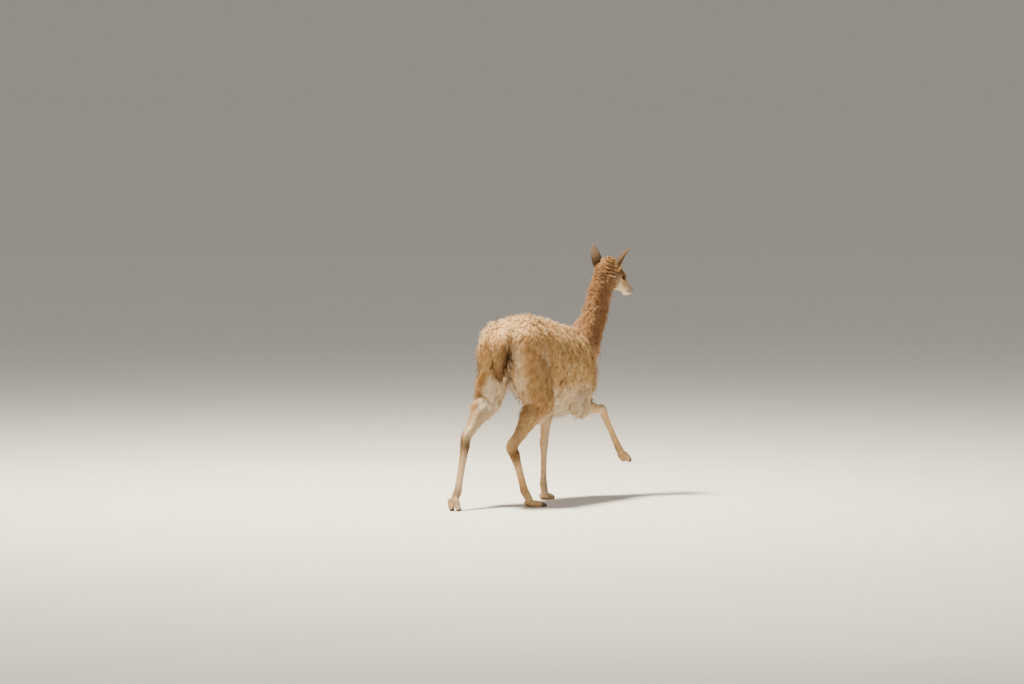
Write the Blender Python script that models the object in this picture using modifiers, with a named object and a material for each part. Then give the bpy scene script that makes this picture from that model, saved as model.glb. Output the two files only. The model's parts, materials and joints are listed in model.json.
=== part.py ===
"""A life-size still model of a vicuna in mid-walk, three feet down and the right foreleg lifted.

Metres, +Z up. The animal faces -Y and its left side is at +X. The origin is on the floor, under the
middle of the animal. Places are written as (side, ahead, up): side is towards the animal's left,
ahead is measured forwards from its buttocks, and up from the floor.
"""

import math
import random

import bmesh
import bpy
from mathutils import Matrix, Vector
from mathutils.bvhtree import BVHTree

BUTTOCK_Y = 0.3855
MIDDLE_SIDE = 0.0085
RING_SIDES = 24
RINGS_BETWEEN = 4
BODY_VOXEL = 0.0045
HEAD_VOXEL = 0.003
BODY_TRIANGLES = 4600
HEAD_TRIANGLES = 1900
COAT_TRIANGLES = 10600
HEAD_COAT_TRIANGLES = 2600
GAP = 0.0003
SLIVER = 0.00003
COAT_DEPTH = 0.007
LEFT = Vector((1, 0, 0))
UP = Vector((0, 0, 1))


def at(side, ahead, up):
    """A place on the animal as a point in the model's frame."""
    return Vector((side - MIDDLE_SIDE, BUTTOCK_Y - ahead, up))


def between(a, b, share):
    return a + (b - a) * share


def spline(values, steps):
    """Values at even steps along a smooth curve through the given numbers or vectors."""
    out = []
    last = len(values) - 1
    for i in range(last):
        a, b = values[max(i - 1, 0)], values[i]
        c, d = values[i + 1], values[min(i + 2, last)]
        for k in range(steps):
            t = k / steps
            out.append(
                b * (2 * t**3 - 3 * t**2 + 1)
                + (c - a) * (0.5 * (t**3 - 2 * t**2 + t))
                + c * (3 * t**2 - 2 * t**3)
                + (d - b) * (0.5 * (t**3 - t**2))
            )
    out.append(values[-1])
    return out


def add_rings(bm, rings, start, end):
    """A closed skin through rings of points, ending in the points start and end."""
    rings = [[bm.verts.new(p) for p in ring] for ring in rings]
    count = len(rings[0])
    for low, high in zip(rings, rings[1:]):
        for k in range(count):
            n = (k + 1) % count
            bm.faces.new((low[k], low[n], high[n], high[k]))
    for ring, point, order in ((rings[0], start, -1), (rings[-1], end, 1)):
        tip = bm.verts.new(point)
        for k in range(count):
            bm.faces.new((ring[k], ring[(k + 1) % count], tip)[::order])


def add_loft(bm, stations, side_axis=LEFT, power=2.0, inset=0.0):
    """A closed tube through rings. A station is (centre, half side, half front, half back).

    A ring stands across the line of centres. Its side is along side_axis, and its front is the
    back of the trunk, neck and head, and the front of a leg. inset thins it all round."""
    centres = spline([s[0] for s in stations], RINGS_BETWEEN)
    sizes = [spline([s[k] for s in stations], RINGS_BETWEEN) for k in (1, 2, 3)]
    rings = []
    for i, centre in enumerate(centres):
        ahead = (centres[min(i + 1, len(centres) - 1)] - centres[max(i - 1, 0)]).normalized()
        side = (side_axis - ahead * side_axis.dot(ahead)).normalized()
        front = ahead.cross(side)
        half_side, half_front, half_back = (max(s[i] - inset, 0.004) for s in sizes)
        ring = []
        for k in range(RING_SIDES):
            turn = math.tau * k / RING_SIDES
            c, s = math.cos(turn), math.sin(turn)
            c = math.copysign(abs(c) ** (2 / power), c)
            s = math.copysign(abs(s) ** (2 / power), s)
            depth = half_front if s > 0 else half_back
            ring.append(centre + side * c * half_side + front * s * depth)
        rings.append(ring)
    tips = []
    for ring, end, inner in ((rings[0], centres[0], centres[1]), (rings[-1], centres[-1], centres[-2])):
        reach = sum((p - end).length for p in ring) / RING_SIDES
        tips.append(end + (end - inner).normalized() * reach * 0.45)
    add_rings(bm, rings, *tips)


def add_ball(bm, centre, radii, axes=(LEFT, Vector((0, -1, 0)), UP), segments=20, rings=12):
    """An ellipsoid, with its three radii along the three axes."""
    frame = Matrix(axes).transposed().to_4x4()
    frame.translation = centre
    matrix = frame @ Matrix.Diagonal((*radii, 1))
    bmesh.ops.create_uvsphere(bm, u_segments=segments, v_segments=rings, radius=1.0, matrix=matrix)


def add_tube(bm, points, radius, sides=6):
    """A thin round tube along points, tapering at both ends."""
    rings = []
    for i, point in enumerate(points):
        ahead = (points[min(i + 1, len(points) - 1)] - points[max(i - 1, 0)]).normalized()
        side = ahead.orthogonal().normalized() if abs(ahead.z) > 0.9 else ahead.cross(UP).normalized()
        front = ahead.cross(side)
        size = radius * (0.45 if i in (0, len(points) - 1) else 1.0)
        turns = (math.tau * k / sides for k in range(sides))
        rings.append([point + side * math.cos(t) * size + front * math.sin(t) * size for t in turns])
    start = points[0] + (points[0] - points[1]).normalized() * radius
    end = points[-1] + (points[-1] - points[-2]).normalized() * radius
    add_rings(bm, rings, start, end)


def to_object(name, bm, collection):
    """The closed shapes in bm as an object."""
    bmesh.ops.recalc_face_normals(bm, faces=bm.faces)
    mesh = bpy.data.meshes.new(name)
    bm.to_mesh(mesh)
    bm.free()
    obj = bpy.data.objects.new(name, mesh)
    collection.objects.link(obj)
    return obj


def apply_modifiers(obj):
    """Sets an object's mesh to what its modifiers make of it."""
    graph = bpy.context.evaluated_depsgraph_get()
    mesh = bpy.data.meshes.new_from_object(obj.evaluated_get(graph))
    obj.modifiers.clear()
    obj.data = mesh


def fuse(obj, voxel, smoothing, bulk, bulk_smoothing, triangles):
    """Joins an object's overlapping closed shapes into one smooth skin of about so many triangles.

    bulk gives how much, from 0 to 1, the joins are softened further at a point."""
    remesh = obj.modifiers.new("fuse", "REMESH")
    remesh.mode = "VOXEL"
    remesh.voxel_size = voxel
    apply_modifiers(obj)
    group = obj.vertex_groups.new(name="bulk")
    for vert in obj.data.vertices:
        group.add([vert.index], min(max(bulk(vert.co), 0), 1), "REPLACE")
    soften = obj.modifiers.new("soften the joins", "SMOOTH")
    soften.factor = 0.5
    soften.iterations = bulk_smoothing
    soften.vertex_group = group.name
    soften = obj.modifiers.new("soften", "SMOOTH")
    soften.factor = 0.5
    soften.iterations = smoothing
    apply_modifiers(obj)
    obj.vertex_groups.clear()
    thin_out(obj, triangles / 2)


def combine(obj, other, operation):
    """Boolean of two closed meshes; the other object goes."""
    modifier = obj.modifiers.new("combine", "BOOLEAN")
    modifier.operation = operation
    modifier.solver = "MANIFOLD"
    modifier.object = other
    apply_modifiers(obj)
    bpy.data.objects.remove(other)
    clean(obj)


def clean(obj):
    """Triangulates a mesh and takes out the pairs of triangles that lie back to back."""
    bm = bmesh.new()
    bm.from_mesh(obj.data)
    bmesh.ops.remove_doubles(bm, verts=bm.verts, dist=SLIVER)
    bmesh.ops.triangulate(bm, faces=bm.faces)
    bm.verts.index_update()
    found = {}
    for face in bm.faces:
        found.setdefault(tuple(sorted(v.index for v in face.verts)), []).append(face)
    flat = [face for faces in found.values() if len(faces) > 1 for face in faces]
    bmesh.ops.delete(bm, geom=flat, context="FACES_ONLY")
    bmesh.ops.delete(bm, geom=[e for e in bm.edges if not e.link_faces], context="EDGES")
    bmesh.ops.delete(bm, geom=[v for v in bm.verts if not v.link_faces], context="VERTS")
    bm.to_mesh(obj.data)
    bm.free()


def thin_out(obj, triangles):
    """Reduces a mesh to about so many triangles, where it changes its form least."""
    thin = obj.modifiers.new("thin", "DECIMATE")
    thin.ratio = min(triangles / len(obj.data.polygons), 1)
    thin.use_collapse_triangulate = True
    apply_modifiers(obj)


def fans_at(vert):
    """The faces round a vertex, in groups that hang together by their edges. A sound vertex has one."""
    left = set(vert.link_faces)
    fans = []
    while left:
        fan = []
        waiting = [left.pop()]
        while waiting:
            face = waiting.pop()
            fan.append(face)
            for edge in (e for e in face.edges if vert in e.verts):
                for other in edge.link_faces:
                    if other in left:
                        left.remove(other)
                        waiting.append(other)
        fans.append(fan)
    return fans


def pieces_of(obj):
    """The separate closed surfaces of a mesh, each as its own bmesh, largest first."""
    source = bmesh.new()
    source.from_mesh(obj.data)
    bmesh.ops.triangulate(source, faces=source.faces)
    seen = set()
    groups = []
    for first in source.faces:
        if first in seen:
            continue
        group = []
        waiting = [first]
        seen.add(first)
        while waiting:
            face = waiting.pop()
            group.append(face)
            for edge in face.edges:
                for other in edge.link_faces:
                    if other not in seen:
                        seen.add(other)
                        waiting.append(other)
        if len(group) > 3:
            groups.append(group)
    out = []
    for group in sorted(groups, key=len, reverse=True):
        piece = bmesh.new()
        corners = {}
        for vert in {v: None for face in group for v in face.verts}:
            fans = fans_at(vert)
            for fan in fans:
                towards = sum((f.calc_center_median() for f in fan), Vector()) / len(fan) - vert.co
                apart = towards.normalized() * 3 * SLIVER if len(fans) > 1 else Vector()
                corner = piece.verts.new(vert.co + apart)
                for face in fan:
                    corners[face, vert] = corner
        for face in group:
            piece.faces.new([corners[face, v] for v in face.verts])
        bmesh.ops.delete(piece, geom=[v for v in piece.verts if not v.link_faces], context="VERTS")
        out.append(piece)
    source.free()
    return out


# The trunk, neck and tail.

TRUNK = (
    # ahead, level of the widest place, half width, top, bottom
    (0.015, 0.800, 0.075, 0.870, 0.740),
    (0.060, 0.800, 0.125, 0.928, 0.690),
    (0.120, 0.790, 0.150, 0.962, 0.665),
    (0.180, 0.775, 0.156, 0.963, 0.640),
    (0.260, 0.755, 0.152, 0.957, 0.580),
    (0.360, 0.720, 0.150, 0.938, 0.505),
    (0.460, 0.700, 0.148, 0.918, 0.462),
    (0.560, 0.685, 0.138, 0.897, 0.447),
    (0.640, 0.680, 0.124, 0.872, 0.462),
    (0.710, 0.675, 0.106, 0.835, 0.495),
    (0.755, 0.670, 0.070, 0.770, 0.560),
)

NECK = (
    # side, ahead, up, half side, half back of the neck, half throat
    (0.008, 0.610, 0.690, 0.105, 0.140, 0.115),
    (0.002, 0.715, 0.780, 0.088, 0.098, 0.118),
    (-0.008, 0.794, 0.880, 0.068, 0.070, 0.100),
    (-0.016, 0.840, 0.960, 0.059, 0.062, 0.088),
    (-0.020, 0.869, 1.040, 0.055, 0.058, 0.088),
    (-0.024, 0.890, 1.120, 0.054, 0.055, 0.102),
    (-0.028, 0.908, 1.175, 0.052, 0.050, 0.096),
    (-0.032, 0.930, 1.205, 0.046, 0.040, 0.070),
)

TAIL = (
    # side, ahead, up, half side, half back, half front
    (0.000, 0.050, 0.885, 0.036, 0.036, 0.036),
    (-0.006, -0.028, 0.855, 0.046, 0.036, 0.036),
    (-0.008, -0.054, 0.780, 0.048, 0.034, 0.030),
    (-0.008, -0.050, 0.700, 0.034, 0.024, 0.022),
    (-0.008, -0.044, 0.645, 0.014, 0.010, 0.010),
)

# Swellings of muscle and wool.
SWELLINGS = (
    # side, ahead, up, half side, half ahead, half up
    (0.106, 0.088, 0.765, 0.084, 0.108, 0.170),
    (-0.060, 0.125, 0.755, 0.082, 0.112, 0.175),
    (0.078, 0.610, 0.670, 0.062, 0.105, 0.160),
    (-0.066, 0.622, 0.670, 0.062, 0.105, 0.160),
    (0.012, 0.530, 0.845, 0.070, 0.130, 0.060),
    (0.004, 0.690, 0.640, 0.085, 0.080, 0.140),
)


def spine_side(ahead):
    """How far the spine lies to the left: the animal turns to its right as it walks."""
    share = min(max(ahead / 0.8, 0), 1)
    return 0.020 + 0.016 * math.sin(math.pi * share) - 0.018 * share


def trunk_bulk(place):
    """How far the joins are softened on the body: fully on the trunk, not at all on the lower legs."""
    return (place.z - 0.48) / 0.08


def trunk_stations():
    return [(at(spine_side(a), a, z), w, top - z, z - low) for a, z, w, top, low in TRUNK]


def neck_stations():
    return [(at(*row[:3]), *row[3:]) for row in NECK]


def tail_stations():
    return [(at(*row[:3]), *row[3:]) for row in TAIL]


# The legs.

LEG_JOINTS = {
    # hip or shoulder, stifle or elbow, hock or knee, fetlock, ball of the foot, toe tips
    "hind_left": (
        at(0.108, 0.110, 0.745),
        at(0.130, 0.050, 0.530),
        at(0.122, -0.158, 0.362),
        at(0.093, -0.282, 0.096),
        at(0.094, -0.318, 0.044),
        at(0.090, -0.304, -0.002),
    ),
    "hind_right": (
        at(-0.066, 0.120, 0.745),
        at(-0.104, 0.178, 0.520),
        at(-0.050, 0.006, 0.312),
        at(-0.080, 0.066, 0.085),
        at(-0.100, 0.097, 0.019),
        at(-0.138, 0.152, 0.009),
    ),
    "fore_left": (
        at(0.086, 0.650, 0.645),
        at(0.088, 0.550, 0.500),
        at(0.080, 0.502, 0.295),
        at(0.076, 0.490, 0.084),
        at(0.076, 0.506, 0.019),
        at(0.078, 0.556, 0.009),
    ),
    "fore_right": (
        at(-0.066, 0.650, 0.645),
        at(-0.096, 0.570, 0.490),
        at(-0.097, 0.785, 0.458),
        at(-0.128, 0.898, 0.256),
        at(-0.134, 0.934, 0.214),
        at(-0.142, 0.968, 0.184),
    ),
}
LEG_TURN = {"hind_left": 5, "hind_right": 30, "fore_left": 5, "fore_right": 12}

HIND_LEG = (
    # joint above, share of the way to the next joint, half side, half front, half back
    (0, -0.20, 0.050, 0.080, 0.080),
    (0, 0.15, 0.068, 0.100, 0.110),
    (0, 0.60, 0.066, 0.094, 0.100),
    (1, 0.00, 0.056, 0.070, 0.084),
    (1, 0.35, 0.042, 0.040, 0.062),
    (1, 0.75, 0.027, 0.030, 0.035),
    (2, 0.00, 0.026, 0.028, 0.038),
    (2, 0.20, 0.023, 0.024, 0.030),
    (2, 0.55, 0.018, 0.019, 0.020),
    (2, 0.90, 0.019, 0.020, 0.021),
    (3, 0.00, 0.021, 0.022, 0.023),
    (3, 0.60, 0.020, 0.020, 0.021),
    (4, 0.00, 0.022, 0.018, 0.019),
)

FORE_LEG = (
    (0, -0.20, 0.030, 0.050, 0.060),
    (0, 0.20, 0.044, 0.060, 0.078),
    (0, 0.60, 0.046, 0.058, 0.072),
    (1, 0.00, 0.040, 0.046, 0.056),
    (1, 0.40, 0.030, 0.034, 0.037),
    (1, 0.80, 0.022, 0.023, 0.024),
    (2, 0.00, 0.024, 0.025, 0.024),
    (2, 0.25, 0.018, 0.018, 0.019),
    (2, 0.60, 0.016, 0.016, 0.017),
    (2, 0.90, 0.018, 0.018, 0.019),
    (3, 0.00, 0.020, 0.020, 0.021),
    (3, 0.60, 0.019, 0.019, 0.020),
    (4, 0.00, 0.021, 0.017, 0.018),
)

TOE = (
    # share of the way from the ball of the foot to the toe tip, half side, half top, half sole
    (-0.35, 0.013, 0.015, 0.014),
    (0.00, 0.016, 0.018, 0.020),
    (0.45, 0.015, 0.017, 0.020),
    (0.80, 0.012, 0.013, 0.016),
    (1.00, 0.008, 0.008, 0.011),
)
TOE_SPREAD = 0.0155
TOE_TIP_SPREAD = 0.0215
NAIL_SHARE = 0.74


def leg_side(name):
    """The direction across a leg, towards the animal's left."""
    outward = 1 if name.endswith("left") else -1
    return Matrix.Rotation(math.radians(LEG_TURN[name] * outward), 3, "Z") @ LEFT


def leg_stations(name):
    joints = LEG_JOINTS[name]
    rows = HIND_LEG if name.startswith("hind") else FORE_LEG
    return [(between(joints[j], joints[j + 1], share), *halves) for j, share, *halves in rows]


def toe_line(name, which):
    """Where one of a foot's two toes starts and ends."""
    ball, tip = LEG_JOINTS[name][4:]
    side = leg_side(name)
    return ball + side * TOE_SPREAD * which, tip + side * TOE_TIP_SPREAD * which


def toe_stations(name, which):
    start, end = toe_line(name, which)
    return [(between(start, end, share), *halves) for share, *halves in TOE]


# The head, in its own frame: it starts at the back of the skull and runs to the nose.

HEAD_BACK = at(-0.039, 0.892, 1.205)
HEAD_YAW = math.radians(9)
HEAD_PITCH = math.radians(32)
HEAD_AHEAD = Matrix.Rotation(-HEAD_YAW, 3, "Z") @ Vector((0, -math.cos(HEAD_PITCH), -math.sin(HEAD_PITCH)))
HEAD_SIDE = (LEFT - HEAD_AHEAD * LEFT.dot(HEAD_AHEAD)).normalized()
HEAD_UP = HEAD_AHEAD.cross(HEAD_SIDE)
HEAD_AXES = (HEAD_SIDE, HEAD_AHEAD, HEAD_UP)

HEAD = (
    # along the head, half width, height above the axis, depth below it
    (0.000, 0.036, 0.036, 0.048),
    (0.030, 0.050, 0.052, 0.076),
    (0.065, 0.056, 0.052, 0.088),
    (0.100, 0.055, 0.049, 0.082),
    (0.140, 0.045, 0.038, 0.064),
    (0.175, 0.034, 0.027, 0.046),
    (0.205, 0.030, 0.023, 0.038),
    (0.232, 0.028, 0.020, 0.031),
    (0.250, 0.022, 0.014, 0.022),
)

# Cheek, brow, nose, lips, chin and crown, each on both sides of the head.
HEAD_SWELLINGS = (
    # side, along, up, half side, half along, half up
    (0.030, 0.066, -0.044, 0.030, 0.050, 0.046),
    (0.041, 0.114, 0.008, 0.020, 0.036, 0.019),
    (0.034, 0.048, 0.018, 0.026, 0.026, 0.026),
    (0.014, 0.238, -0.006, 0.015, 0.022, 0.016),
    (0.013, 0.236, -0.020, 0.015, 0.022, 0.013),
    (0.008, 0.226, -0.032, 0.013, 0.020, 0.009),
    (0.004, 0.044, 0.034, 0.044, 0.050, 0.038),
)

EYE_PLACE = (0.0410, 0.119, -0.010)
EYE_RADIUS = 0.0165
LID_THICKNESS = 0.0024

EAR_LENGTH = 0.136
EAR_PLACE = {1: (0.058, 0.036, 0.002), -1: (0.055, 0.051, 0.002)}
EAR_LEAN = {
    # outwards and forwards for each unit up, and how far the cup faces outwards for each unit forwards
    1: (0.24, 0.00, 0.75),
    -1: (0.46, 0.35, 0.45),
}
EAR = (
    # share of its length, half width, depth of the cup, how far round it wraps in degrees
    (0.00, 0.018, 0.016, 145),
    (0.15, 0.022, 0.017, 135),
    (0.32, 0.0255, 0.017, 118),
    (0.50, 0.0255, 0.015, 108),
    (0.68, 0.021, 0.011, 100),
    (0.84, 0.012, 0.007, 95),
    (0.94, 0.006, 0.004, 90),
)


def in_head(side, along, up):
    """A place in the head's own frame."""
    return HEAD_BACK + HEAD_SIDE * side + HEAD_AHEAD * along + HEAD_UP * up


def head_bulk(place):
    """How far the joins are softened on the head: fully on the skull and neck, not at all on the muzzle."""
    return (0.150 - (place - HEAD_BACK).dot(HEAD_AHEAD)) / 0.04


def head_stations():
    return [(in_head(0, row[0], 0), *row[1:]) for row in HEAD]


def ear_bmesh(outward):
    """One ear: a pointed cup, open forwards and outwards, with a thin wall."""
    bm = bmesh.new()
    aside, ahead, up = EAR_PLACE[outward]
    base = in_head(aside * outward, ahead, up)
    aside, ahead, open_side = EAR_LEAN[outward]
    up = (Vector((0, 0.06, 1)) + HEAD_SIDE * aside * outward + HEAD_AHEAD * ahead).normalized()
    facing = HEAD_AHEAD + HEAD_SIDE * open_side * outward
    facing = (facing - up * facing.dot(up)).normalized()
    across = up.cross(facing)
    shares = spline([row[0] for row in EAR], 2)
    widths = spline([row[1] for row in EAR], 2)
    depths = spline([row[2] for row in EAR], 2)
    wraps = spline([row[3] for row in EAR], 2)
    rings = []
    for share, width, depth, wrap in zip(shares, widths, depths, wraps):
        centre = base + up * EAR_LENGTH * share - facing * 0.012 * math.sin(math.pi * share)
        wall = 0.0026 + 0.004 * max(0.2 - share, 0) / 0.2
        ring = []
        for layer, order in ((0, 1), (1, -1)):
            half = max(width - wall * layer, width * 0.35)
            deep = max(depth - wall * layer, depth * 0.3)
            for k in range(7)[::order]:
                turn = math.radians(wrap) * (k / 3 - 1) * (1 - 0.03 * layer)
                ring.append(centre + across * math.sin(turn) * half - facing * math.cos(turn) * deep)
        rings.append(ring)
    tip = base + up * EAR_LENGTH
    add_rings(bm, rings, base - up * 0.014, tip)
    return bm


def body_shapes():
    bm = bmesh.new()
    add_loft(bm, trunk_stations(), power=2.2, inset=COAT_DEPTH)
    add_loft(bm, neck_stations(), inset=COAT_DEPTH)
    add_loft(bm, tail_stations(), inset=COAT_DEPTH)
    for *place, side, ahead, up in SWELLINGS:
        add_ball(bm, at(*place), (side - COAT_DEPTH, ahead - COAT_DEPTH, up - COAT_DEPTH))
    for name in LEG_JOINTS:
        side = leg_side(name)
        add_loft(bm, leg_stations(name), side)
        for which in (1, -1):
            add_loft(bm, toe_stations(name, which), side)
    return bm


def head_shapes():
    bm = bmesh.new()
    add_loft(bm, neck_stations()[-5:], inset=COAT_DEPTH)
    add_loft(bm, head_stations(), HEAD_SIDE, 2.2)
    for outward in (1, -1):
        for side, along, up, *radii in HEAD_SWELLINGS:
            add_ball(bm, in_head(side * outward, along, up), radii, HEAD_AXES)
    return bm


def trim(obj, point, normal):
    """Cuts off what lies beyond a plane and closes the cut."""
    bm = bmesh.new()
    bm.from_mesh(obj.data)
    everything = [*bm.verts, *bm.edges, *bm.faces]
    cut = bmesh.ops.bisect_plane(bm, geom=everything, plane_co=point, plane_no=normal, clear_outer=True)
    edges = [e for e in cut["geom_cut"] if isinstance(e, bmesh.types.BMEdge)]
    bmesh.ops.holes_fill(bm, edges=edges)
    bmesh.ops.triangulate(bm, faces=bm.faces)
    bm.to_mesh(obj.data)
    bm.free()


def add_slab(bm, centre, normal, side, half_side, half_front):
    """A thin flat box standing across normal: the gap of a cut."""
    frame = Matrix((side, normal.cross(side), normal)).transposed().to_4x4()
    frame.translation = centre
    size = Matrix.Diagonal((2 * half_side, 2 * half_front, GAP, 1))
    bmesh.ops.create_cube(bm, size=1.0, matrix=frame @ size)


def tree_of(obj):
    """A search tree over an object's skin."""
    bm = bmesh.new()
    bm.from_mesh(obj.data)
    tree = BVHTree.FromBMesh(bm)
    bm.free()
    return tree


# The coat: fleece in rounded clumps set close, and longer locks on the tail, chest, belly and thighs.

COATS = {
    # length, half width, half thickness, rise of the tip off the skin, distance between roots
    "fleece": (0.066, 0.021, 0.0060, 0.006, 0.041),
    "neck": (0.052, 0.015, 0.0050, 0.006, 0.031),
    "crown": (0.034, 0.011, 0.0040, 0.004, 0.022),
    "tail": (0.085, 0.012, 0.0050, 0.009, 0.025),
    "chest": (0.095, 0.013, 0.0055, 0.016, 0.031),
    "belly": (0.080, 0.015, 0.0055, 0.014, 0.036),
    "thigh": (0.078, 0.015, 0.0055, 0.009, 0.034),
}
LOCK_SHAPE = (
    # share of its length, share of its width, share of its thickness, height above the skin in thicknesses
    (0.00, 0.55, 0.80, -0.9),
    (0.40, 1.00, 1.00, 0.2),
    (0.78, 0.72, 0.70, 0.5),
)
LOCK_SEED = 7


def coat_of(place, normal):
    """Which coat grows at a place, and the way it lies. No coat on the lower legs and the face."""
    side, ahead, up = place.x + MIDDLE_SIDE, BUTTOCK_Y - place.y, place.z
    back = Vector((0, 1, 0))
    if (place - NECK_TOP).dot(NECK_TOP_NORMAL) > 0:
        along = (place - HEAD_BACK).dot(HEAD_AHEAD)
        ears = (in_head(x * outward, y, z + 0.02) for outward, (x, y, z) in EAR_PLACE.items())
        bare = along > 0.075 or any((place - ear).length < 0.036 for ear in ears)
        return (None, back) if bare else ("crown", back - UP * 0.8)
    if (place - NECK_BASE).dot(NECK_BASE_NORMAL) > 0:
        return "neck", back * 0.25 - UP
    if ahead < -0.022 and up > 0.62 and abs(side) < 0.07:
        return "tail", -UP + back * 0.1
    if up < 0.42 or (up < 0.50 and (ahead < 0.05 or ahead > 0.68)):
        return None, back
    if ahead > 0.68 and normal.y < -0.2:
        return "chest", -UP + back * 0.15
    if normal.z < -0.35 and ahead > 0.20:
        return "belly", back * 0.8 - UP * 0.7
    if ahead < 0.24 and up < 0.72:
        return "thigh", -UP + back * 0.45
    return "fleece", back * 0.9 - UP * (0.25 + 0.9 * abs(normal.x))


def clear_of_cuts(points, cuts):
    """Whether a lock's points stay on one side of every cut, with room to spare."""
    for centre, normal, side, half_side, half_front in cuts:
        front = normal.cross(side)
        aside = [(p, abs((p - centre).dot(side)), abs((p - centre).dot(front))) for p in points]
        levels = [(p - centre).dot(normal) for p, a, b in aside if a < half_side and b < half_front]
        if levels and min(abs(level) for level in levels) < 0.012:
            return False
        if levels and min(levels) < 0 < max(levels):
            return False
    return True


def lock_path(tree, root, lie, coat):
    """Points along a lock over the skin, with the way out of the skin at each."""
    length, _, thickness, rise, _ = coat
    path = []
    for share, _, _, height in (*LOCK_SHAPE, (1.0, 0, 0, 0.6)):
        place, normal, *_ = tree.find_nearest(root + lie * length * share)
        path.append((place + normal * (height * thickness + rise * share**2), normal))
    return path


def lock_bmesh(path, coat, bend):
    """A flat tapered lock along a path, bending a little to one side."""
    _, width, thickness, *_ = coat
    rings = []
    start, end = path[0][0], path[-1][0]
    for (place, normal), (share, wide, thick, _) in zip(path, LOCK_SHAPE):
        ahead = (end - start).normalized()
        across = ahead.cross(normal).normalized()
        middle = place + across * bend * math.sin(math.pi * share) * width
        out = across.cross(ahead)
        half = across * width * wide
        top = out * thickness * thick
        rings.append([middle + half, middle + top, middle - half, middle - top])
    bm = bmesh.new()
    add_rings(bm, rings, start - (end - start).normalized() * 0.004 - path[0][1] * thickness, end)
    return bm


def lay_locks(core, cuts, chance, triangles, collection):
    """Fuses a coat of overlapping locks to a core, each rooted well in it and lying along the coat's lie."""
    bm = bmesh.new()
    bm.from_mesh(core.data)
    tree = BVHTree.FromBMesh(bm)
    faces = list(bm.faces)
    areas = [f.calc_area() for f in faces]
    tufts = bpy.data.collections.new("locks")
    collection.children.link(tufts)
    roots = []
    for face in chance.choices(faces, weights=areas, k=9000):
        shares = [chance.random() + 0.01 for _ in face.verts]
        root = sum((v.co * s for v, s in zip(face.verts, shares)), Vector()) / sum(shares)
        name, lie = coat_of(root, face.normal)
        if name is None:
            continue
        coat = COATS[name]
        if any((root - other).length < coat[4] for other in roots):
            continue
        lie = lie.normalized()
        lie = lie - face.normal * lie.dot(face.normal)
        if lie.length < 0.2:
            continue
        lie = Matrix.Rotation(chance.uniform(-0.30, 0.30), 3, face.normal) @ lie.normalized()
        size = chance.uniform(0.88, 1.15)
        coat = (coat[0] * size, coat[1] * chance.uniform(0.9, 1.1), *coat[2:])
        path = lock_path(tree, root, lie, coat)
        if not clear_of_cuts([place for place, _ in path], cuts):
            continue
        roots.append(root)
        to_object("lock", lock_bmesh(path, coat, chance.uniform(-0.5, 0.5)), tufts)
    bm.free()
    union = core.modifiers.new("fuse the locks", "BOOLEAN")
    union.operation = "UNION"
    union.solver = "MANIFOLD"
    union.operand_type = "COLLECTION"
    union.collection = tufts
    apply_modifiers(core)
    for obj in list(tufts.objects):
        bpy.data.objects.remove(obj)
    bpy.data.collections.remove(tufts)
    clean(core)
    thin_out(core, triangles)
    clean(core)
    largest_only(core)


# The cuts between the parts of the body.

UPPER_CUT = {
    # joint above, share of the way to the next joint, half the cut's width, half its depth
    "hind_left": (0, 0.84, 0.085, 0.125),
    "hind_right": (0, 0.84, 0.085, 0.125),
    "fore_left": (1, 0.38, 0.050, 0.060),
    "fore_right": (1, 0.52, 0.044, 0.050),
}
HOCK_CUT = (2, 0.06, 0.050, 0.060)
FETLOCK_CUT = (2, 0.93, 0.040, 0.045)
NECK_TOP = at(-0.021, 0.878, 1.072)
NECK_TOP_NORMAL = Vector((0, -0.26, 1)).normalized()
NECK_BASE = at(0.0, 0.690, 0.845)
NECK_BASE_NORMAL = Vector((0, -0.62, 0.78)).normalized()
TAIL_CUT = at(-0.008, -0.022, 0.770)


def body_cuts():
    """Where thin gaps part the body: each as centre, normal, side, half its width and half its depth."""
    cuts = [
        (NECK_BASE, NECK_BASE_NORMAL, LEFT, 0.20, 0.22),
        (TAIL_CUT, Vector((0, 1, 0)), LEFT, 0.060, 0.150),
    ]
    for name, joints in LEG_JOINTS.items():
        for joint, share, half_side, half_front in (UPPER_CUT[name], HOCK_CUT, FETLOCK_CUT):
            a, b = joints[joint], joints[joint + 1]
            cuts.append((between(a, b, share), b - a, leg_side(name), half_side, half_front))
        start, end = joints[4:]
        cuts.append((between(start, end, NAIL_SHARE), end - start, leg_side(name), 0.045, 0.030))
    square = []
    for centre, normal, side, *halves in cuts:
        normal = normal.normalized()
        square.append((centre, normal, (side - normal * side.dot(normal)).normalized(), *halves))
    return square


def body_places():
    """A point inside each part of the body, to name the parts by."""
    places = {"torso": at(0, 0.40, 0.72), "neck": at(-0.016, 0.85, 0.98), "tail": at(-0.008, -0.05, 0.77)}
    for name, joints in LEG_JOINTS.items():
        places[f"leg_{name}_upper"] = between(joints[1], joints[2], 0.35)
        places[f"leg_{name}_shank"] = between(joints[2], joints[3], 0.5)
        places[f"foot_{name}"] = joints[4]
        for which, label in ((1, "left"), (-1, "right")):
            start, end = toe_line(name, which)
            places[f"nail_{name}_{label}"] = between(start, end, 0.95)
    return places


def split_body(body, collection):
    """Parts the body at its thin cuts and names the pieces."""
    slabs = bmesh.new()
    for cut in body_cuts():
        add_slab(slabs, *cut)
    combine(body, to_object("cuts", slabs, collection), "DIFFERENCE")
    places = body_places()
    for piece in pieces_of(body):
        middle = sum((v.co for v in piece.verts), Vector()) / len(piece.verts)
        name = min(places, key=lambda n: (places[n] - middle).length)
        del places[name]
        to_object(name, piece, collection)
    bpy.data.objects.remove(body)


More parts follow.
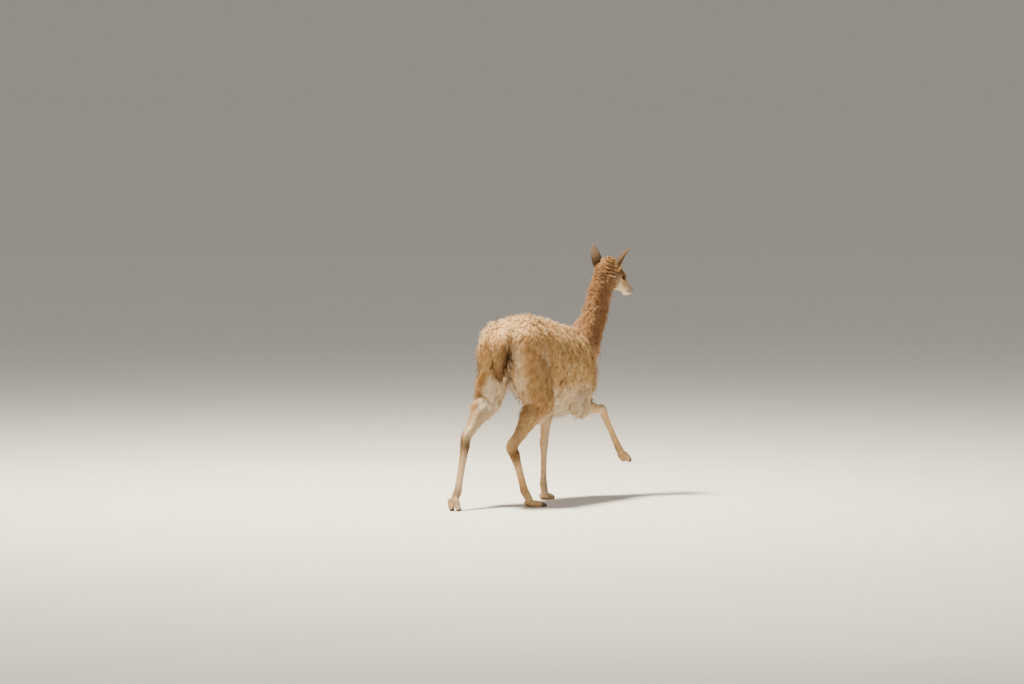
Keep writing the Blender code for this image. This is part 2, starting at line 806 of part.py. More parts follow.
def eye_axes(outward):
    """The eye's own directions: out of the head, along its lids, and up."""
    out = (HEAD_SIDE * outward + HEAD_AHEAD * 0.22 + HEAD_UP * 0.05).normalized()
    along = (HEAD_AHEAD - HEAD_UP * 0.18)
    along = (along - out * along.dot(out)).normalized()
    return out, along, out.cross(along)


def shape_head(head, collection):
    """Cuts the eyes' sockets between their lids, the nostrils, the line of the mouth and the split lip."""
    tree = tree_of(head)
    lids, openings, sockets = bmesh.new(), bmesh.new(), bmesh.new()
    for outward in (1, -1):
        eye = in_head(EYE_PLACE[0] * outward, *EYE_PLACE[1:])
        axes = eye_axes(outward)
        add_ball(lids, eye, (EYE_RADIUS + LID_THICKNESS,) * 3, axes, 16, 10)
        add_ball(openings, eye + axes[0] * EYE_RADIUS, (0.013, 0.0152, 0.0104), axes, 16, 8)
        add_ball(sockets, eye, (EYE_RADIUS + GAP,) * 3, axes, 14, 8)
        nostril = tree.find_nearest(in_head(0.0125 * outward, 0.262, -0.002))[0]
        slit = (HEAD_UP * 0.75 + HEAD_SIDE * outward * 0.65).normalized()
        across = HEAD_AHEAD.cross(slit).normalized()
        add_ball(openings, nostril, (0.0022, 0.0062, 0.0050), (across, slit, across.cross(slit)), 12, 8)
    mouth = []
    middle = in_head(0, 0.205, -0.026)
    for k in range(-8, 9):
        turn = math.radians(14.5 * k)
        mouth.append(tree.ray_cast(middle, HEAD_SIDE * math.sin(turn) + HEAD_AHEAD * math.cos(turn))[0])
    mouth_line, lip_line = bmesh.new(), bmesh.new()
    add_tube(mouth_line, mouth, 0.0022)
    levels = (-0.004, -0.010, -0.016, -0.0215)
    add_tube(lip_line, [tree.ray_cast(in_head(0, 0.205, up), HEAD_AHEAD)[0] for up in levels], 0.0016)
    combine(head, to_object("lids", lids, collection), "UNION")
    for name, cutter in (
        ("openings", openings),
        ("lip line", lip_line),
        ("mouth line", mouth_line),
        ("sockets", sockets),
    ):
        combine(head, to_object(name, cutter, collection), "DIFFERENCE")


def largest_only(obj):
    """Keeps only an object's largest closed surface."""
    pieces = pieces_of(obj)
    pieces[0].to_mesh(obj.data)
    for piece in pieces:
        piece.free()


def swollen(obj, distance, collection):
    """A copy of an object, larger all round by a distance."""
    bm = bmesh.new()
    bm.from_mesh(obj.data)
    bm.normal_update()
    for vert in bm.verts:
        vert.co += vert.normal * distance
    return to_object("swollen", bm, collection)


def colour(name):
    """The base colour of a sub-part."""
    for start, value in COLOURS:
        if name.startswith(start):
            return value
    return COLOURS[-1][1]


COLOURS = (
    ("eye", (0.012, 0.009, 0.007)),
    ("nail", (0.045, 0.036, 0.030)),
    ("head", (0.42, 0.23, 0.11)),
    ("neck", (0.44, 0.22, 0.10)),
    ("ear", (0.22, 0.15, 0.10)),
    ("tail", (0.35, 0.18, 0.08)),
    ("torso", (0.52, 0.33, 0.18)),
    ("leg", (0.56, 0.41, 0.26)),
    ("foot", (0.40, 0.29, 0.19)),
    ("", (0.5, 0.4, 0.3)),
)


def paint(obj):
    """Gives an object its own material."""
    material = bpy.data.materials.new(obj.name)
    material.use_nodes = True
    shader = material.node_tree.nodes["Principled BSDF"]
    shader.inputs["Base Color"].default_value = (*colour(obj.name), 1)
    shader.inputs["Roughness"].default_value = 0.08 if obj.name.startswith("eye") else 0.85
    obj.data.materials.clear()
    obj.data.materials.append(material)


def main():
    for obj in list(bpy.data.objects):
        bpy.data.objects.remove(obj)
    collection = bpy.data.collections.new("vicuna")
    bpy.context.scene.collection.children.link(collection)
    chance = random.Random(LOCK_SEED)
    neck_top = (NECK_TOP, NECK_TOP_NORMAL, LEFT, 0.15, 0.15)
    body = to_object("body", body_shapes(), collection)
    fuse(body, BODY_VOXEL, 3, trunk_bulk, 70, BODY_TRIANGLES)
    trim(body, NECK_TOP + NECK_TOP_NORMAL * 0.01, NECK_TOP_NORMAL)
    lay_locks(body, [*body_cuts(), neck_top], chance, COAT_TRIANGLES, collection)
    trim(body, NECK_TOP, NECK_TOP_NORMAL)
    trim(body, Vector((0, 0, 0)), -UP)
    split_body(body, collection)
    head = to_object("head", head_shapes(), collection)
    fuse(head, HEAD_VOXEL, 4, head_bulk, 50, HEAD_TRIANGLES)
    lay_locks(head, [neck_top], chance, HEAD_COAT_TRIANGLES, collection)
    trim(head, NECK_TOP + NECK_TOP_NORMAL * GAP, -NECK_TOP_NORMAL)
    shape_head(head, collection)
    largest_only(head)
    for outward, label in ((1, "left"), (-1, "right")):
        ear = to_object(f"ear_{label}", ear_bmesh(outward), collection)
        combine(ear, swollen(head, GAP, collection), "DIFFERENCE")
        largest_only(ear)
        eye = bmesh.new()
        place = in_head(EYE_PLACE[0] * outward, *EYE_PLACE[1:])
        add_ball(eye, place, (EYE_RADIUS,) * 3, eye_axes(outward), 14, 8)
        to_object(f"eye_{label}", eye, collection)
    for obj in collection.objects:
        paint(obj)


main()
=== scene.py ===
# %% [markdown]
# This lesson builds a life-size vicuna in mid-walk, as a museum would show it. The animal's solid
# parts have been made already and are loaded as a fixed frame. Here it gets what the eye sees: one
# smooth skin from nose to toes, a dense coat of small tufts that lie along the body, eyes, lashes
# and nails. A coat could be made as hair curves, but those don't leave Blender as a mesh. Here
# every tuft is a small closed solid, so that the finished model holds its own coat.

import json
import math

import bmesh
import bpy
import numpy as np
from mathutils import Matrix, Vector, noise
from mathutils.bvhtree import BVHTree
from mathutils.kdtree import KDTree

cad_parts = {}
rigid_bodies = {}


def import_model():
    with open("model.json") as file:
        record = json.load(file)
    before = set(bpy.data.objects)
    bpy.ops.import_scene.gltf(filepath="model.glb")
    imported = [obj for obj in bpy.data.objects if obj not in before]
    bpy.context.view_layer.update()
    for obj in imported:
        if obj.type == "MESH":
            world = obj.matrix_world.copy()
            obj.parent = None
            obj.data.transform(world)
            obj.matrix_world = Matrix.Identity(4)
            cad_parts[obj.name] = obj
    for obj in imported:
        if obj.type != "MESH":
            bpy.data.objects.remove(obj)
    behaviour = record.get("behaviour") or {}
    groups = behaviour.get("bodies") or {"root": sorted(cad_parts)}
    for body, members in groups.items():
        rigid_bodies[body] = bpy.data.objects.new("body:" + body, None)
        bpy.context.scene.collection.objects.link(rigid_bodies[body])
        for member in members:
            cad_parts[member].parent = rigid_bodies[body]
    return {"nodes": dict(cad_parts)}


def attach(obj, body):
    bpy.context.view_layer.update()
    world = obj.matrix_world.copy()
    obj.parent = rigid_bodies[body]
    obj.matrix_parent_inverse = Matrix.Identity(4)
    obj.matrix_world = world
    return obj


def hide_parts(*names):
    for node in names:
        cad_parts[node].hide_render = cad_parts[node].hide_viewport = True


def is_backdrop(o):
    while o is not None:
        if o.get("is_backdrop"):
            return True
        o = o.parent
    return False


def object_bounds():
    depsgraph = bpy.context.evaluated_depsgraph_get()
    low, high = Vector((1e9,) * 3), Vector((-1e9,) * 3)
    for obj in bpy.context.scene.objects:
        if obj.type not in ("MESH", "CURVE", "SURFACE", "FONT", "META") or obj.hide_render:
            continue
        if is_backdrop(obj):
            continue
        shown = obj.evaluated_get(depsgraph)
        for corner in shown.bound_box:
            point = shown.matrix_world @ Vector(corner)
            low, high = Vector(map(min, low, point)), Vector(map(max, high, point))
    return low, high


for obj in list(bpy.data.objects):
    bpy.data.objects.remove(obj)
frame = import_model()
solid_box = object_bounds()
print("solid parts:", len(frame["nodes"]))
print("box:", [tuple(round(v, 3) for v in corner) for corner in solid_box])

# %% [markdown]
# Every place on the animal is written as side, ahead and up: metres to its left, metres forwards
# from its buttocks, and metres above the floor. This is easier to think in than x, y and z, and one
# function turns it into the frame's own axes.

# %% Places on the animal
BUTTOCK_Y = 0.3855
MIDDLE_SIDE = 0.0085
LEFT = Vector((1, 0, 0))
UP = Vector((0, 0, 1))
BACK = Vector((0, 1, 0))
SIDES = {1: "left", -1: "right"}


def at(side, ahead, up):
    """A place on the animal as a point in the frame."""
    return Vector((side - MIDDLE_SIDE, BUTTOCK_Y - ahead, up))


def between(a, b, share):
    """The place a share of the way from a to b."""
    return a + (b - a) * share


print("buttocks at", tuple(round(v, 3) for v in at(0, 0, 0.8)))

# %% [markdown]
# The camera stands behind the animal and to its right, at a person's height, with a long lens, as a
# visitor at a distance would. It comes first, because each later step is judged through it.

# %% The camera
CAMERA_TURN = math.radians(33)
CAMERA_DISTANCE = 20.0
CAMERA_HEIGHT = 1.75
CAMERA_ASIDE = 0.0404
CAMERA_TILT = math.radians(2.61)
LENS = 139.2
SENSOR_WIDTH = 36
FARTHEST_SEEN = 200


def add_object(name, data):
    """An object that shows some data, added to the scene."""
    obj = bpy.data.objects.new(name, data)
    bpy.context.scene.collection.objects.link(obj)
    return obj


def face_along(obj, direction):
    """Turns a camera or a lamp to face along a direction."""
    obj.rotation_mode = "QUATERNION"
    obj.rotation_quaternion = direction.to_track_quat("-Z", "Y")


def add_camera():
    """The visitor's camera, which looks a little down at the animal."""
    look = Vector((math.sin(CAMERA_TURN), -math.cos(CAMERA_TURN), 0))
    right = Vector((-math.cos(CAMERA_TURN), -math.sin(CAMERA_TURN), 0))
    data = bpy.data.cameras.new("visitor")
    data.sensor_width = SENSOR_WIDTH
    data.lens = LENS
    data.clip_end = FARTHEST_SEEN
    camera = add_object("visitor", data)
    camera.location = (
        at(0, 0, 0) - look * CAMERA_DISTANCE + right * CAMERA_ASIDE + UP * CAMERA_HEIGHT
    )
    face_along(camera, look * math.cos(CAMERA_TILT) - UP * math.sin(CAMERA_TILT))
    bpy.context.scene.camera = camera
    return camera


camera = add_camera()
print("camera at", tuple(round(v, 2) for v in camera.location))

# %% [markdown]
# An animal's body is a set of round forms that flow into each other. One way to make it is to
# sculpt it by hand; another is to stretch tubes over rings of given size, as a maker bends wire
# hoops over a skeleton and then covers them. The second is chosen, since each hoop has a place and
# a size that can be measured and changed. These helpers make the tubes, the balls and the thin
# rolls.

# %% Helpers for tubes, balls and rolls
RING_SIDES = 36
RINGS_BETWEEN = 6
THINNEST_HALF = 0.003
ROUND_END = 0.45


def spline(values, steps):
    """Values at even steps along a smooth curve through the given numbers or vectors."""
    out = []
    last = len(values) - 1
    for i in range(last):
        a, b = values[max(i - 1, 0)], values[i]
        c, d = values[i + 1], values[min(i + 2, last)]
        for k in range(steps):
            t = k / steps
            out.append(
                b * (2 * t**3 - 3 * t**2 + 1)
                + (c - a) * (0.5 * (t**3 - 2 * t**2 + t))
                + c * (3 * t**2 - 2 * t**3)
                + (d - b) * (0.5 * (t**3 - t**2))
            )
    out.append(values[-1])
    return out


def add_rings(bm, rings, start, end):
    """A closed skin through rings of points, ending in the points start and end."""
    rings = [[bm.verts.new(p) for p in ring] for ring in rings]
    count = len(rings[0])
    for low, high in zip(rings, rings[1:]):
        for k in range(count):
            n = (k + 1) % count
            bm.faces.new((low[k], low[n], high[n], high[k]))
    for ring, point, order in ((rings[0], start, -1), (rings[-1], end, 1)):
        tip = bm.verts.new(point)
        for k in range(count):
            bm.faces.new((ring[k], ring[(k + 1) % count], tip)[::order])


def add_loft(bm, stations, side_axis=LEFT, power=2.0, steps=RINGS_BETWEEN):
    """A closed tube through rings. A station is (centre, half side, half front, half back)."""
    centres = spline([s[0] for s in stations], steps)
    sizes = [spline([s[k] for s in stations], steps) for k in (1, 2, 3)]
    rings = []
    for i, centre in enumerate(centres):
        ahead = (centres[min(i + 1, len(centres) - 1)] - centres[max(i - 1, 0)]).normalized()
        side = (side_axis - ahead * side_axis.dot(ahead)).normalized()
        front = ahead.cross(side)
        half_side, half_front, half_back = (max(s[i], THINNEST_HALF) for s in sizes)
        ring = []
        for k in range(RING_SIDES):
            turn = math.tau * k / RING_SIDES
            c, s = math.cos(turn), math.sin(turn)
            c = math.copysign(abs(c) ** (2 / power), c)
            s = math.copysign(abs(s) ** (2 / power), s)
            half = half_front if s > 0 else half_back
            ring.append(centre + side * c * half_side + front * s * half)
        rings.append(ring)
    tips = []
    ends = ((rings[0], centres[0], centres[1]), (rings[-1], centres[-1], centres[-2]))
    for ring, end, inner in ends:
        reach = sum((p - end).length for p in ring) / RING_SIDES
        tips.append(end + (end - inner).normalized() * reach * ROUND_END)
    add_rings(bm, rings, *tips)


def add_ball(bm, centre, radii, axes=(LEFT, -BACK, UP), segments=28, rings=16):
    """An ellipsoid, with its three radii along the three axes."""
    place = Matrix(axes).transposed().to_4x4()
    place.translation = centre
    matrix = place @ Matrix.Diagonal((*radii, 1))
    bmesh.ops.create_uvsphere(bm, u_segments=segments, v_segments=rings, radius=1.0, matrix=matrix)


def add_tube(bm, points, radius, sides=8, end_size=ROUND_END):
    """A thin round roll along points, thinner at both ends."""
    rings = []
    for i, point in enumerate(points):
        ahead = (points[min(i + 1, len(points) - 1)] - points[max(i - 1, 0)]).normalized()
        side = (ahead.orthogonal() if abs(ahead.z) > 0.9 else ahead.cross(UP)).normalized()
        front = ahead.cross(side)
        size = radius * (end_size if i in (0, len(points) - 1) else 1.0)
        rings.append([])
        for k in range(sides):
            turn = math.tau * k / sides
            rings[-1].append(point + side * math.cos(turn) * size + front * math.sin(turn) * size)
    start = points[0] + (points[0] - points[1]).normalized() * radius
    end = points[-1] + (points[-1] - points[-2]).normalized() * radius
    add_rings(bm, rings, start, end)


def to_object(name, bm):
    """The closed shapes in bm as an object."""
    bmesh.ops.recalc_face_normals(bm, faces=bm.faces)
    mesh = bpy.data.meshes.new(name)
    bm.to_mesh(mesh)
    bm.free()
    return add_object(name, mesh)


print("each hoop has", RING_SIDES, "points")

# %% [markdown]
# The tubes overlap at the shoulders, hips and neck. A voxel remesh melts them into one skin, much
# as a maker fills the joins with clay, and a smoothing pass then softens the joins: a lot on the
# trunk, and hardly at all on the fine lower legs and the muzzle. A decimate takes out the points
# that flat areas don't need. Openings such as the eye sockets are cut out of the finished skin with
# a Boolean.

# %% Helpers that melt, soften and cut
SOFTENING = 0.5



def apply_modifiers(obj):
    """Sets an object's mesh to what its modifiers make of it."""
    graph = bpy.context.evaluated_depsgraph_get()
    mesh = bpy.data.meshes.new_from_object(obj.evaluated_get(graph))
    obj.modifiers.clear()
    obj.data = mesh


def melt(obj, voxel, smoothing, bulk, bulk_smoothing, triangles):
    """Joins overlapping closed shapes into one skin. bulk tells how far to soften a point."""
    remesh = obj.modifiers.new("melt", "REMESH")
    remesh.mode = "VOXEL"
    remesh.voxel_size = voxel
    apply_modifiers(obj)
    group = obj.vertex_groups.new(name="bulk")
    for vert in obj.data.vertices:
        group.add([vert.index], min(max(bulk(vert.co), 0), 1), "REPLACE")
    for iterations, name in ((bulk_smoothing, group.name), (smoothing, "")):
        soften = obj.modifiers.new("soften", "SMOOTH")
        soften.factor = SOFTENING
        soften.iterations = iterations
        soften.vertex_group = name
    apply_modifiers(obj)
    obj.vertex_groups.clear()
    thin = obj.modifiers.new("thin", "DECIMATE")
    thin.ratio = min(triangles / 2 / len(obj.data.polygons), 1)
    thin.use_collapse_triangulate = True
    apply_modifiers(obj)


def combine(obj, other, operation):
    """Boolean of two closed meshes; the other object goes."""
    modifier = obj.modifiers.new("combine", "BOOLEAN")
    modifier.operation = operation
    modifier.solver = "MANIFOLD"
    modifier.object = other
    apply_modifiers(obj)
    bpy.data.objects.remove(other)


def trim(obj, point, normal):
    """Cuts off what lies beyond a plane and closes the cut."""
    bm = bmesh.new()
    bm.from_mesh(obj.data)
    everything = [*bm.verts, *bm.edges, *bm.faces]
    cut = bmesh.ops.bisect_plane(
        bm, geom=everything, plane_co=point, plane_no=normal, clear_outer=True
    )["geom_cut"]
    bmesh.ops.holes_fill(bm, edges=[e for e in cut if isinstance(e, bmesh.types.BMEdge)])
    bmesh.ops.triangulate(bm, faces=bm.faces)
    bm.to_mesh(obj.data)
    bm.free()


def tree_of(obj):
    """A search tree over an object's skin."""
    bm = bmesh.new()
    bm.from_mesh(obj.data)
    tree = BVHTree.FromBMesh(bm)
    bm.free()
    return tree


print("ready to melt and cut")

# %% [markdown]
# These tables hold the hoops of the trunk, neck and tail, and the swellings of the haunches,
# shoulders, withers and chest. They give the outside of the coat. The skin lies deeper, by the
# depth of the wool at each place, so that the tufts have room to stand up to the animal's real
# outline.

# %% Hoops of the trunk, neck and tail
TRUNK = (
    # ahead, level of the widest place, half width, top, bottom
    (0.015, 0.800, 0.075, 0.870, 0.740),
    (0.060, 0.800, 0.125, 0.928, 0.690),
    (0.120, 0.790, 0.150, 0.962, 0.665),
    (0.180, 0.775, 0.156, 0.963, 0.640),
    (0.260, 0.755, 0.152, 0.957, 0.580),
    (0.360, 0.720, 0.150, 0.938, 0.505),
    (0.460, 0.700, 0.148, 0.918, 0.462),
    (0.560, 0.685, 0.138, 0.897, 0.447),
    (0.640, 0.680, 0.124, 0.872, 0.462),
    (0.710, 0.675, 0.106, 0.835, 0.495),
    (0.755, 0.670, 0.070, 0.770, 0.560),
)
NECK = (
    # side, ahead, up, half side, half back of the neck, half throat
    (0.008, 0.610, 0.690, 0.105, 0.140, 0.115),
    (0.002, 0.715, 0.780, 0.088, 0.098, 0.118),
    (-0.008, 0.794, 0.880, 0.068, 0.070, 0.100),
    (-0.016, 0.840, 0.960, 0.059, 0.062, 0.088),
    (-0.020, 0.869, 1.040, 0.055, 0.058, 0.088),
    (-0.024, 0.890, 1.120, 0.054, 0.055, 0.102),
    (-0.028, 0.908, 1.175, 0.052, 0.050, 0.096),
    (-0.032, 0.930, 1.205, 0.046, 0.040, 0.070),
)
TAIL = (
    # side, ahead, up, half side, half back, half front
    (0.000, 0.050, 0.885, 0.036, 0.036, 0.036),
    (-0.006, -0.028, 0.855, 0.046, 0.036, 0.036),
    (-0.008, -0.054, 0.780, 0.048, 0.034, 0.030),
    (-0.008, -0.050, 0.700, 0.034, 0.024, 0.022),
    (-0.008, -0.044, 0.645, 0.014, 0.010, 0.010),
)
SWELLINGS = (
    # side, ahead, up, half side, half ahead, half up
    (0.106, 0.088, 0.765, 0.084, 0.108, 0.170),
    (-0.060, 0.125, 0.755, 0.082, 0.112, 0.175),
    (0.078, 0.610, 0.670, 0.062, 0.105, 0.160),
    (-0.066, 0.622, 0.670, 0.062, 0.105, 0.160),
    (0.012, 0.530, 0.845, 0.070, 0.130, 0.060),
    (0.004, 0.690, 0.640, 0.085, 0.080, 0.140),
)
WOOL_DEPTH = 0.011
NECK_WOOL_DEPTH = 0.009
TAIL_WOOL_DEPTH = 0.016


def thinner(stations, depth):
    """The same hoops, smaller all round by a depth."""
    return [(centre, *(half - depth for half in halves)) for centre, *halves in stations]


def spine_side(ahead):
    """How far the spine lies to the left: the animal turns to its right as it walks."""
    share = min(max(ahead / 0.8, 0), 1)
    return 0.020 + 0.016 * math.sin(math.pi * share) - 0.018 * share


def trunk_stations():
    """The trunk's hoops, each round the spine at its place."""
    return [(at(spine_side(a), a, z), w, top - z, z - low) for a, z, w, top, low in TRUNK]


neck_stations = [(at(*row[:3]), *row[3:]) for row in NECK]
tail_stations = [(at(*row[:3]), *row[3:]) for row in TAIL]
print("hoops:", len(TRUNK), "trunk,", len(NECK), "neck,", len(TAIL), "tail")

# %% [markdown]
# Each leg hangs from a few joints. The rows below say where between two joints a hoop stands and
# how thick the leg is there. The hind legs push, and the right foreleg swings forwards with a bent
# knee. A vicuna walks on two toes with a soft pad under each and a nail at its end.

# %% Joints and hoops of the legs
LEG_JOINTS = {
    # hip or shoulder, stifle or elbow, hock or knee, fetlock, ball of the foot, toe tips
    "hind_left": (
        at(0.108, 0.110, 0.745),
        at(0.130, 0.050, 0.530),
        at(0.122, -0.158, 0.362),
        at(0.093, -0.282, 0.096),
        at(0.094, -0.318, 0.044),
        at(0.090, -0.304, -0.002),
    ),
    "hind_right": (
        at(-0.066, 0.120, 0.745),
        at(-0.104, 0.178, 0.520),
        at(-0.050, 0.006, 0.312),
        at(-0.080, 0.066, 0.085),
        at(-0.100, 0.097, 0.019),
        at(-0.138, 0.152, 0.009),
    ),
    "fore_left": (
        at(0.086, 0.650, 0.645),
        at(0.088, 0.550, 0.500),
        at(0.080, 0.502, 0.295),
        at(0.076, 0.490, 0.084),
        at(0.076, 0.506, 0.019),
        at(0.078, 0.556, 0.009),
    ),
    "fore_right": (
        at(-0.066, 0.650, 0.645),
        at(-0.096, 0.570, 0.490),
        at(-0.097, 0.785, 0.458),
        at(-0.128, 0.898, 0.256),
        at(-0.134, 0.934, 0.214),
        at(-0.142, 0.968, 0.184),
    ),
}
LEG_TURN = {"hind_left": 5, "hind_right": 30, "fore_left": 5, "fore_right": 12}
HIND_LEG = (
    # joint above, share of the way to the next, half side, half front, half back, depth of fur
    (0, -0.20, 0.050, 0.080, 0.080, 0.010),
    (0, 0.15, 0.068, 0.100, 0.110, 0.010),
    (0, 0.60, 0.066, 0.094, 0.100, 0.009),
    (1, 0.00, 0.056, 0.070, 0.084, 0.008),
    (1, 0.35, 0.042, 0.040, 0.062, 0.006),
    (1, 0.75, 0.027, 0.030, 0.035, 0.003),
    (2, 0.00, 0.026, 0.028, 0.038, 0.002),
    (2, 0.20, 0.023, 0.024, 0.030, 0.002),
    (2, 0.55, 0.018, 0.019, 0.020, 0.002),
    (2, 0.90, 0.019, 0.020, 0.021, 0.002),
    (3, 0.00, 0.021, 0.022, 0.023, 0.002),
    (3, 0.60, 0.020, 0.020, 0.021, 0.002),
    (4, 0.00, 0.022, 0.018, 0.019, 0.002),
)
FORE_LEG = (
    (0, -0.20, 0.030, 0.050, 0.060, 0.010),
    (0, 0.20, 0.044, 0.060, 0.078, 0.010),
    (0, 0.60, 0.046, 0.058, 0.072, 0.009),
    (1, 0.00, 0.040, 0.046, 0.056, 0.006),
    (1, 0.40, 0.030, 0.034, 0.037, 0.004),
    (1, 0.80, 0.022, 0.023, 0.024, 0.002),
    (2, 0.00, 0.024, 0.025, 0.024, 0.002),
    (2, 0.25, 0.018, 0.018, 0.019, 0.002),
    (2, 0.60, 0.016, 0.016, 0.017, 0.002),
    (2, 0.90, 0.018, 0.018, 0.019, 0.002),
    (3, 0.00, 0.020, 0.020, 0.021, 0.002),
    (3, 0.60, 0.019, 0.019, 0.020, 0.002),
    (4, 0.00, 0.021, 0.017, 0.018, 0.002),
)
TOE = (
    # share of the way from the ball of the foot to the toe tip, half side, half top, half sole
    (-0.35, 0.013, 0.015, 0.014),
    (0.00, 0.016, 0.018, 0.020),
    (0.45, 0.015, 0.017, 0.020),
    (0.80, 0.012, 0.013, 0.016),
    (1.00, 0.008, 0.008, 0.011),
)
TOE_SPREAD = 0.0155
TOE_TIP_SPREAD = 0.0215
TOE_FUR = 0.0012


def leg_side(name):
    """The direction across a leg, towards the animal's left."""
    outward = 1 if name.endswith("left") else -1
    return Matrix.Rotation(math.radians(LEG_TURN[name] * outward), 3, "Z") @ LEFT


def leg_stations(name):
    """A leg's hoops, each moved in by the depth of the fur there."""
    joints = LEG_JOINTS[name]
    rows = HIND_LEG if name.startswith("hind") else FORE_LEG
    return [
        (between(joints[j], joints[j + 1], share), *(half - fur for half in halves))
        for j, share, *halves, fur in rows
    ]


def toe_line(name, which):
    """Where one of a foot's two toes starts and ends."""
    ball, tip = LEG_JOINTS[name][4:]
    side = leg_side(name)
    return ball + side * TOE_SPREAD * which, tip + side * TOE_TIP_SPREAD * which


def toe_stations(name, which):
    """The hoops of one of a foot's two toes."""
    start, end = toe_line(name, which)
    return [(between(start, end, share), *halves) for share, *halves in TOE]


print("legs:", ", ".join(LEG_JOINTS))

# %% [markdown]
# The head has its own frame: it starts at the back of the skull, runs down to the nose, and is
# turned a little to the animal's right. A vicuna's head is a short wedge with a high round skull,
# full cheeks and a narrow soft muzzle, so hoops give the wedge and pairs of balls give cheeks,
# brows, nose, lips and chin.

# %% The head's frame, hoops and swellings
HEAD_BACK = at(-0.039, 0.892, 1.205)
HEAD_YAW = math.radians(9)
HEAD_PITCH = math.radians(32)
DOWN_THE_FACE = Vector((0, -math.cos(HEAD_PITCH), -math.sin(HEAD_PITCH)))
HEAD_AHEAD = Matrix.Rotation(-HEAD_YAW, 3, "Z") @ DOWN_THE_FACE
HEAD_SIDE = (LEFT - HEAD_AHEAD * LEFT.dot(HEAD_AHEAD)).normalized()
HEAD_UP = HEAD_AHEAD.cross(HEAD_SIDE)
HEAD_AXES = (HEAD_SIDE, HEAD_AHEAD, HEAD_UP)
HEAD = (
    # along the head, half width, height above the axis, depth below it
    (0.000, 0.036, 0.036, 0.048),
    (0.030, 0.050, 0.052, 0.076),
    (0.065, 0.056, 0.052, 0.088),
    (0.100, 0.055, 0.049, 0.082),
    (0.140, 0.045, 0.038, 0.064),
    (0.175, 0.034, 0.027, 0.046),
    (0.205, 0.030, 0.023, 0.038),
    (0.232, 0.028, 0.020, 0.031),
    (0.250, 0.022, 0.014, 0.022),
)
HEAD_SWELLINGS = (
    # side, along, up, half side, half along, half up
    (0.030, 0.066, -0.044, 0.030, 0.050, 0.046),
    (0.041, 0.114, 0.008, 0.020, 0.036, 0.019),
    (0.034, 0.048, 0.018, 0.026, 0.026, 0.026),
    (0.014, 0.238, -0.006, 0.015, 0.022, 0.016),
    (0.013, 0.236, -0.020, 0.015, 0.022, 0.013),
    (0.008, 0.226, -0.032, 0.013, 0.020, 0.009),
    (0.004, 0.044, 0.034, 0.044, 0.050, 0.038),
)
FACE_FUR = 0.0015
EYE_PLACE = (0.0410, 0.119, -0.010)
EYE_RADIUS = 0.0165
EYE_OPENING = (0.013, 0.0152, 0.0104)
LID_THICKNESS = 0.0024
EYE_GAP = 0.0003
EAR_LENGTH = 0.136
EAR_PLACE = {1: (0.058, 0.036, 0.002), -1: (0.055, 0.051, 0.002)}
EAR_LEAN = {
    # outwards and forwards for each unit up, and how far outwards the cup faces for each forwards
    1: (0.24, 0.00, 0.75),
    -1: (0.46, 0.35, 0.45),
}
EAR = (
    # share of its length, half width, depth of the cup, how far round it wraps in degrees
    (0.00, 0.018, 0.016, 145),
    (0.15, 0.022, 0.017, 135),
    (0.32, 0.0255, 0.017, 118),
    (0.50, 0.0255, 0.015, 108),
    (0.68, 0.021, 0.011, 100),
    (0.84, 0.012, 0.007, 95),
    (0.94, 0.006, 0.004, 90),
)
EAR_STEPS = 15
EAR_BEND = 0.012
EAR_ROOT = 0.014
EAR_WALL = 0.0020
EAR_ROOT_WALL = 0.004
EAR_ROOT_SHARE = 0.2
EAR_UPRIGHT = Vector((0, 0.06, 1))
LEAST_INSIDE = 0.35, 0.3
EYE_AHEAD, EYE_UPWARDS, LID_SLANT = 0.22, 0.05, 0.18


def in_head(side, along, up):
    """A place in the head's own frame."""
    return HEAD_BACK + HEAD_SIDE * side + HEAD_AHEAD * along + HEAD_UP * up


def ear_frame(outward):
    """An ear's base, its line to the tip, the way its cup faces, and the way across it."""
    side, along, up = EAR_PLACE[outward]
    base = in_head(side * outward, along, up)
    aside, ahead, open_side = EAR_LEAN[outward]
    up = (EAR_UPRIGHT + HEAD_SIDE * aside * outward + HEAD_AHEAD * ahead).normalized()
    facing = HEAD_AHEAD + HEAD_SIDE * open_side * outward
    facing = (facing - up * facing.dot(up)).normalized()
    return base, up, facing, up.cross(facing)


def add_ear(bm, outward):
    """One ear: a pointed cup, open forwards and outwards, with a thin wall."""
    base, up, facing, across = ear_frame(outward)
    shares, widths, depths, wraps = (spline([row[k] for row in EAR], 4) for k in range(4))
    rings = []
    for share, width, depth, wrap in zip(shares, widths, depths, wraps):
        centre = base + up * EAR_LENGTH * share - facing * EAR_BEND * math.sin(math.pi * share)
        wall = EAR_WALL + EAR_ROOT_WALL * max(EAR_ROOT_SHARE - share, 0) / EAR_ROOT_SHARE
        ring = []
        for layer, order in ((0, 1), (1, -1)):
            half = max(width - wall * layer, width * LEAST_INSIDE[0])
            deep = max(depth - wall * layer, depth * LEAST_INSIDE[1])
            for k in range(EAR_STEPS)[::order]:
                turn = math.radians(wrap) * (k / (EAR_STEPS // 2) - 1) * (1 - 0.03 * layer)
                aside = across * math.sin(turn) * half
                ring.append(centre + aside - facing * math.cos(turn) * deep)
        rings.append(ring)
    add_rings(bm, rings, base - up * EAR_ROOT, base + up * EAR_LENGTH)


def eye_axes(outward):
    """The eye's own directions: out of the head, along its lids, and up."""
    out = (HEAD_SIDE * outward + HEAD_AHEAD * EYE_AHEAD + HEAD_UP * EYE_UPWARDS).normalized()
    along = HEAD_AHEAD - HEAD_UP * LID_SLANT
    along = (along - out * along.dot(out)).normalized()
    return out, along, out.cross(along)


def eye_centre(outward):
    """The middle of an eyeball."""
    return in_head(EYE_PLACE[0] * outward, *EYE_PLACE[1:])


